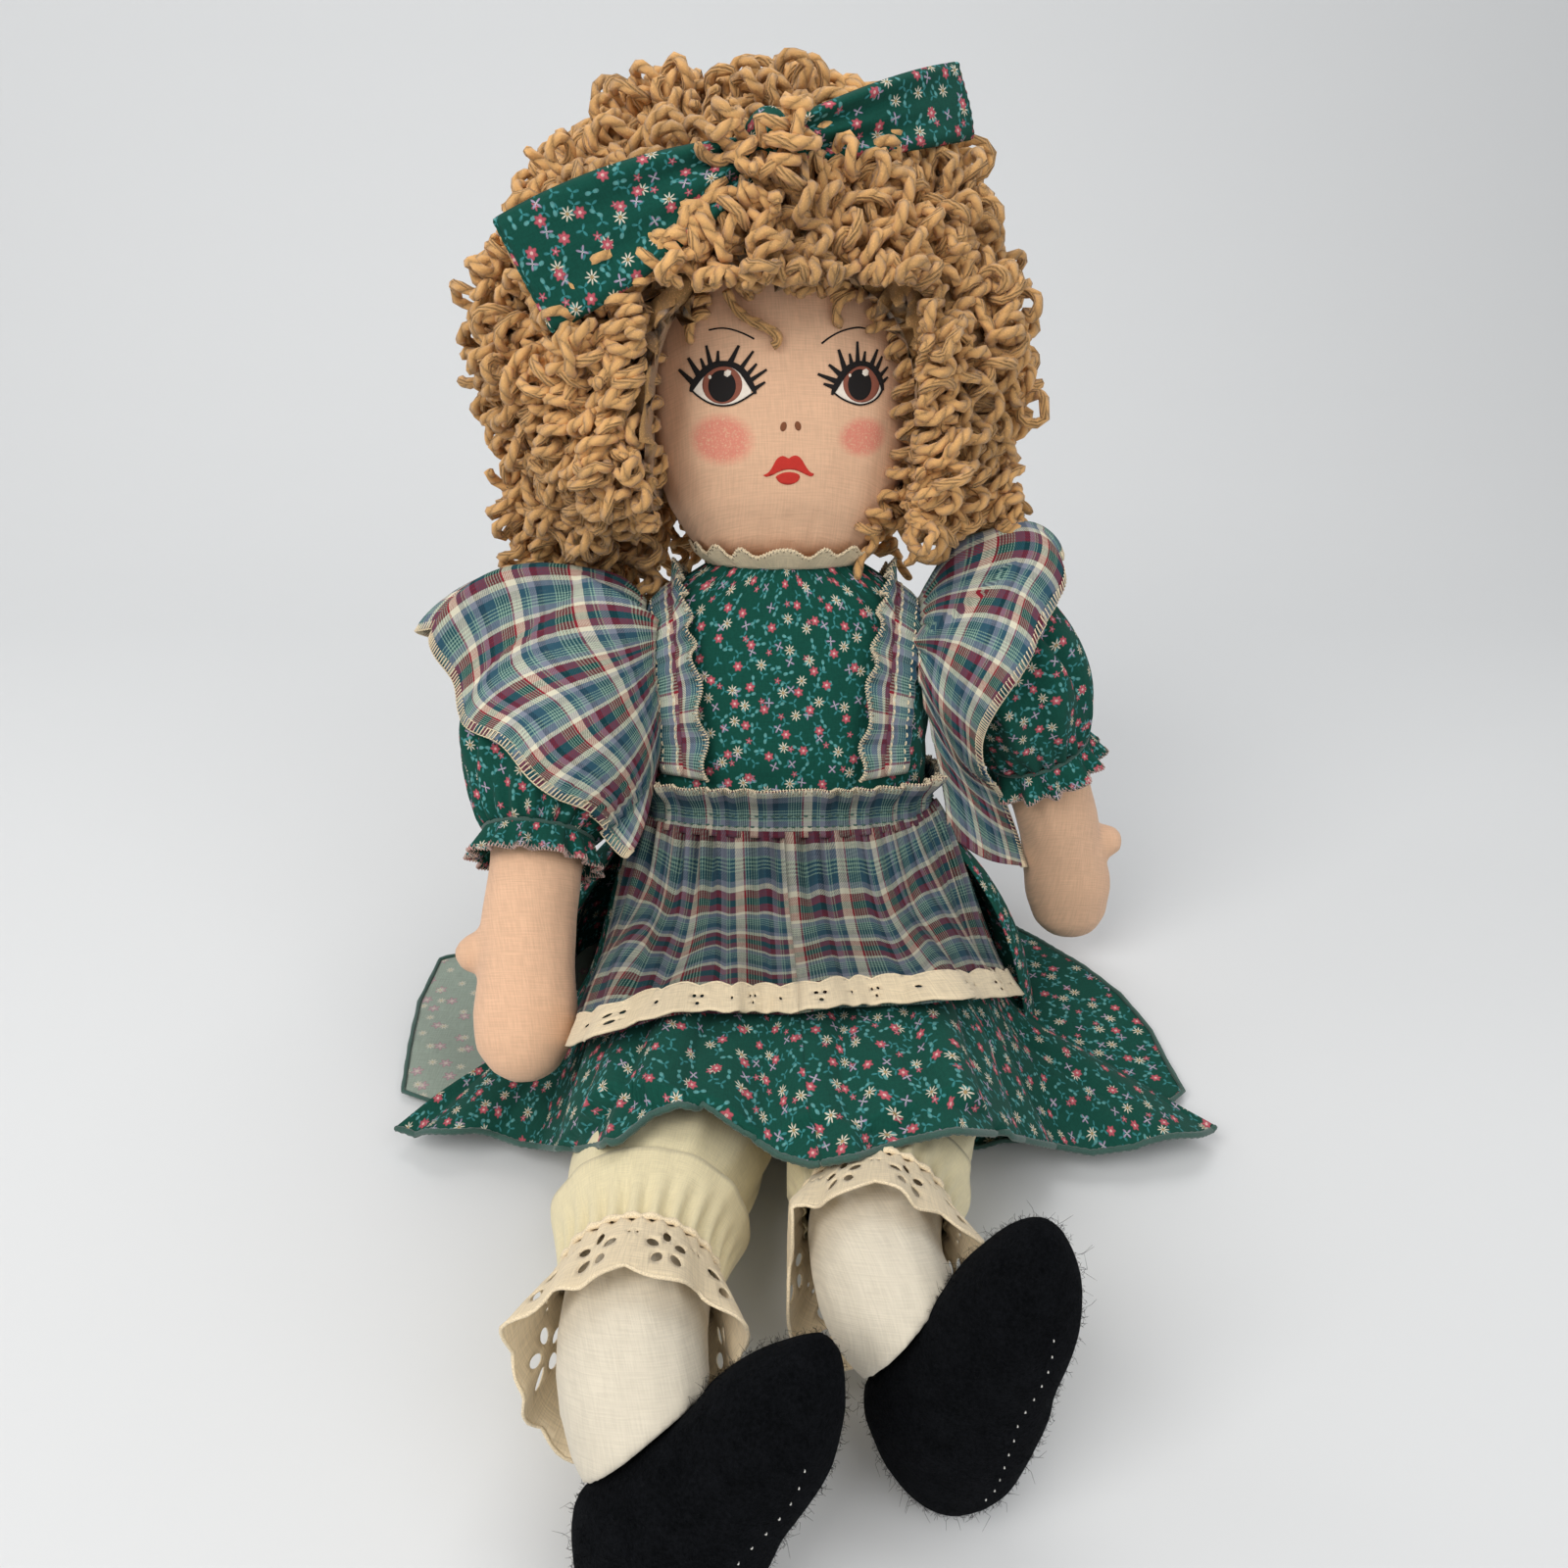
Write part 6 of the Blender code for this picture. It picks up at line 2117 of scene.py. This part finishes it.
def wing_tail(side, s, v):
    """Where the flounce leaves the strap's outer edge, or a little out from there."""
    t = 0.03 + 0.94 * s
    base = over_shoulder(side, strap_x(t) + STRAP_WIDTH * 0.5 + CLOTH * 0.4, t, LAYER_GAP + CLOTH)
    centre = spine(ARMHOLE_SHARE)[0]
    away = (base - Vector((base.x, centre.y, base.z))).normalized()
    return base + Vector((SIDES[side] * 0.007 * v, 0, 0)) + away * (0.012 * v)


def wing_over(side, s):
    """The flounce's outer edge where it isn't in sight, from the top of the sleeve round to the back."""
    share = WING_REACH_SHARES[side] * (1 - 0.4 * smooth((s - 0.5) / 0.2))
    place, heading = arm_at(side, share)
    top = Vector((SIDES[side], 0, 2))
    top = (top - heading * top.dot(heading)).normalized()
    front = heading.cross(top) * SIDES[side]
    angle = radians(108 * (1 - 2 * min(max((s - 0.14) / 0.72, 0), 1)))
    puff = sleeve_puff(min(share / SLEEVE_SHARES[side], 1))
    spot = place + way_round(top, front, angle) * (UPPER_ARM + puff + WING_CLEARANCE + 0.004)
    return wing_tail(side, s, 1).lerp(spot, smooth((1 - s) / 0.26))


def wing_at(side):
    path = wing_edge(side)
    crest = path[-1] - wing_over(side, 0.5)
    drop = Vector()
    if side == "left":
        start = wing_tail(side, 0, 0)
        near, far = ((place - CAMERA_PLACE).length for place in (path[0], start))
        drop = CAMERA_PLACE + sight(*WING_FOOT) * (far * 0.6 + near * 0.4 - 0.004) - start

    @functools.cache
    def edge(s):
        if s <= 0.5:
            place = (len(path) - 1) * 2 * s
            low = min(int(place), len(path) - 2)
            return path[low].lerp(path[low + 1], place - low)
        return wing_over(side, s) + crest * (1 - smooth((s - 0.5) / 0.30))

    @functools.cache
    def at(s, t):
        near = wing_tail(side, s, 0) + drop * smooth((0.20 - s) / 0.20)
        if not t:
            return near
        slow = noise_at(s * 7, 3.0 + SIDES[side], t)
        wave = 0.0019 * (1 + sin(tau * (7.5 * s + 0.5 * slow))) * smooth(t)
        wave += 0.0009 * (1 + sin(tau * 30 * s)) * (1 - smooth(t / 0.35))
        spot = near.lerp(edge(min(max(s, 0), 1)), t)
        crown = exp(-(((s - 0.48) / 0.16) ** 2))
        spot += (spot - shoulder(side)).normalized() * (wave + 0.006 * sin(pi * t))
        spot += UP * (0.020 * crown * sin(pi * t) ** 0.7)
        return outside_sleeve(side, spot, WING_CLEARANCE)

    return at


WING_LOOP_STEP = 0.0014


def make_wing(side):
    at = wing_at(side)
    obj = panel("shoulder_flounce_" + side, at, 200, 40, turned=True)
    declare(finished(obj, "plaid", None, "plaid", "wing_" + side))
    length = row_length([at(i / 60, 1.0) for i in range(61)])
    path = edge_path(at, 1.0, int(length / WING_LOOP_STEP), 0.92)
    edge = wing_edging("flounce_edging_" + side, path)
    finished(edge, "edging", None, "ivory", "wing_" + side)
    for piece in (obj, edge):
        shoulder_blend(piece, side)


def wing_edging(name, path):
    """A line of thread along the flounce's edge, and a thread looped over it at each place of the path."""
    points = []
    for edge, inward, normal in path:
        for way, lift in ((0.0032, 0.0006), (-LOOP_PAST, 0.0004), (-LOOP_PAST, -0.0004), (0.0032, -0.0006)):
            points.append(edge + inward * way + normal * lift)
    line = [edge - inward * 0.0002 for edge, inward, _ in path]
    return tube(name, [points, line], 0.00028, 4, taper=False)


# Stage
SENSOR_WIDTH = 36
SWEEP_START_Y = 0.55
SWEEP_RADIUS = 0.6
# Each lamp's place, what it is aimed at, its size, its power and its colour
LAMPS = (
    ((-0.70, -0.95, 1.20), (0, -0.05, 0.12), 0.9, 14.5, (1.0, 0.98, 0.955)),
    ((0.70, -1.00, 0.95), (0, -0.05, 0.12), 1.0, 5.5, (0.98, 0.99, 1.0)),
    ((-1.30, 0.10, 1.10), (-0.75, 1.15, 0.85), 0.7, 3.6, (1.0, 1.0, 1.0)),
    ((0.10, 0.55, 1.60), (0, 0.0, 0.12), 0.9, 6.0, (1.0, 1.0, 1.0)),
)


def make_stage():
    scene = bpy.context.scene
    scene.view_settings.view_transform = "Standard"
    bpy.ops.object.camera_add(location=CAMERA_PLACE, rotation=(radians(90) - CAMERA_DOWN, 0, 0))
    camera = bpy.context.object
    camera.data.lens = PIXELS / PICTURE * SENSOR_WIDTH
    camera.data.sensor_width = SENSOR_WIDTH
    scene.camera = camera

    rows = [(-3.0, 0.0), (SWEEP_START_Y, 0.0)]
    for turn in range(10, 100, 10):
        a = radians(turn)
        rows.append((SWEEP_START_Y + SWEEP_RADIUS * sin(a), SWEEP_RADIUS - SWEEP_RADIUS * cos(a)))
    rows.append((SWEEP_START_Y + SWEEP_RADIUS, 3.5))
    points = [(x, y, z - 0.0001) for y, z in rows for x in (-4, 4)]
    faces = [(i, i + 1, i + 3, i + 2) for i in range(0, len(points) - 2, 2)]
    sweep = mesh_object("paper_sweep", points, faces)
    m = Finish("pale_paper", 0.95)
    m.bump(m.noise(m.where, 260.0), 0.0003, 0.1)
    sweep.data.materials.append(m.done((0.705, 0.715, 0.722)))

    for place, aim, size, power, colour in LAMPS:
        bpy.ops.object.light_add(type="AREA", location=place)
        lamp = bpy.context.object
        lamp.data.size = size
        lamp.data.energy = power
        lamp.data.color = colour
        lamp.rotation_euler = (Vector(aim) - Vector(place)).to_track_quat("-Z", "Y").to_euler()
    world = bpy.data.worlds.new("soft_room")
    world.use_nodes = True
    background = world.node_tree.nodes["Background"].inputs
    background[0].default_value = (0.95, 0.96, 0.97, 1)
    background[1].default_value = 0.42
    scene.world = world


# Each group of pieces: its operator's name, its label, what it makes, whether once for each side, and how
STEPS = (
    ("body", "Body and Seat", "the stuffed torso and the seat of the bloomers", False, make_torso),
    ("head", "Head", "the stuffed head with its blushed cotton", False, make_head),
    ("face", "Printed Face", "the eyes, brows, nostrils and lips printed on the head", False, make_face),
    ("arms", "Arms", "the stuffed arms with their mitten hands", True, make_arm),
    ("legs", "Legs", "the stuffed legs", True, make_leg),
    ("shoes", "Felt Shoes", "the felt shoes with their stitches and fuzz", True, make_shoe),
    ("wig", "Yarn Wig", "the wig of yarn curls", False, make_wig),
    ("bow", "Bow", "the folded bow and its band", False, make_bow),
    ("bodice", "Bodice", "the bodice and the frill at its neck", False, make_bodice),
    ("sleeves", "Sleeves", "the puffed sleeves and their ruffles", True, make_sleeve),
    ("bloomers", "Bloomers and Lace", "the bloomer legs and their eyelet ruffles", True, make_bloomer),
    ("skirt", "Skirt", "the skirt, its hem and the part spread on the floor", False, make_skirt),
    ("apron", "Apron", "the apron, its band and its eyelet edging", False, make_apron),
    ("straps", "Straps", "the shoulder straps and their inner ruffles", True, make_strap),
    ("flounces", "Shoulder Flounces", "the flounces that lie over the sleeves", True, make_wing),
    ("stage", "Stage", "the paper sweep, the lamps and the camera", False, make_stage),
)


def operator_class(key, label, pieces, each_side, make):
    def execute(self, context):
        for arguments in [(side,) for side in SIDES] if each_side else [()]:
            make(*arguments)
        return {"FINISHED"}

    members = {
        "__doc__": "Makes " + pieces,
        "bl_idname": "rag_doll." + key,
        "bl_label": label,
        "bl_options": {"REGISTER", "UNDO"},
        "execute": execute,
    }
    return type("RAGDOLL_OT_" + key, (bpy.types.Operator,), members)


OPERATORS = [operator_class(*step) for step in STEPS]


class RAGDOLL_PT_pieces(bpy.types.Panel):
    """Lists the doll's pieces in the order in which they are made"""

    bl_label = "Rag Doll"
    bl_idname = "RAGDOLL_PT_pieces"
    bl_space_type = "VIEW_3D"
    bl_region_type = "UI"
    bl_category = "Rag Doll"

    def draw(self, context):
        layout = self.layout
        for group in (context.scene.rag_doll_sizes, context.scene.rag_doll_colours):
            for key in group.__annotations__:
                layout.prop(group, key)
        for operator in OPERATORS:
            layout.operator(operator.bl_idname)


CLASSES = [RagDollColours, RagDollSizes, *OPERATORS, RAGDOLL_PT_pieces]


def register():
    for cls in CLASSES:
        bpy.utils.register_class(cls)
    bpy.types.Scene.rag_doll_colours = PointerProperty(type=RagDollColours)
    bpy.types.Scene.rag_doll_sizes = PointerProperty(type=RagDollSizes)


def unregister():
    del bpy.types.Scene.rag_doll_sizes
    del bpy.types.Scene.rag_doll_colours
    for cls in reversed(CLASSES):
        bpy.utils.unregister_class(cls)


def main():
    register()
    for operator in OPERATORS:
        getattr(bpy.ops.rag_doll, operator.bl_idname.split(".")[1])()


if __name__ == "__main__":
    main()
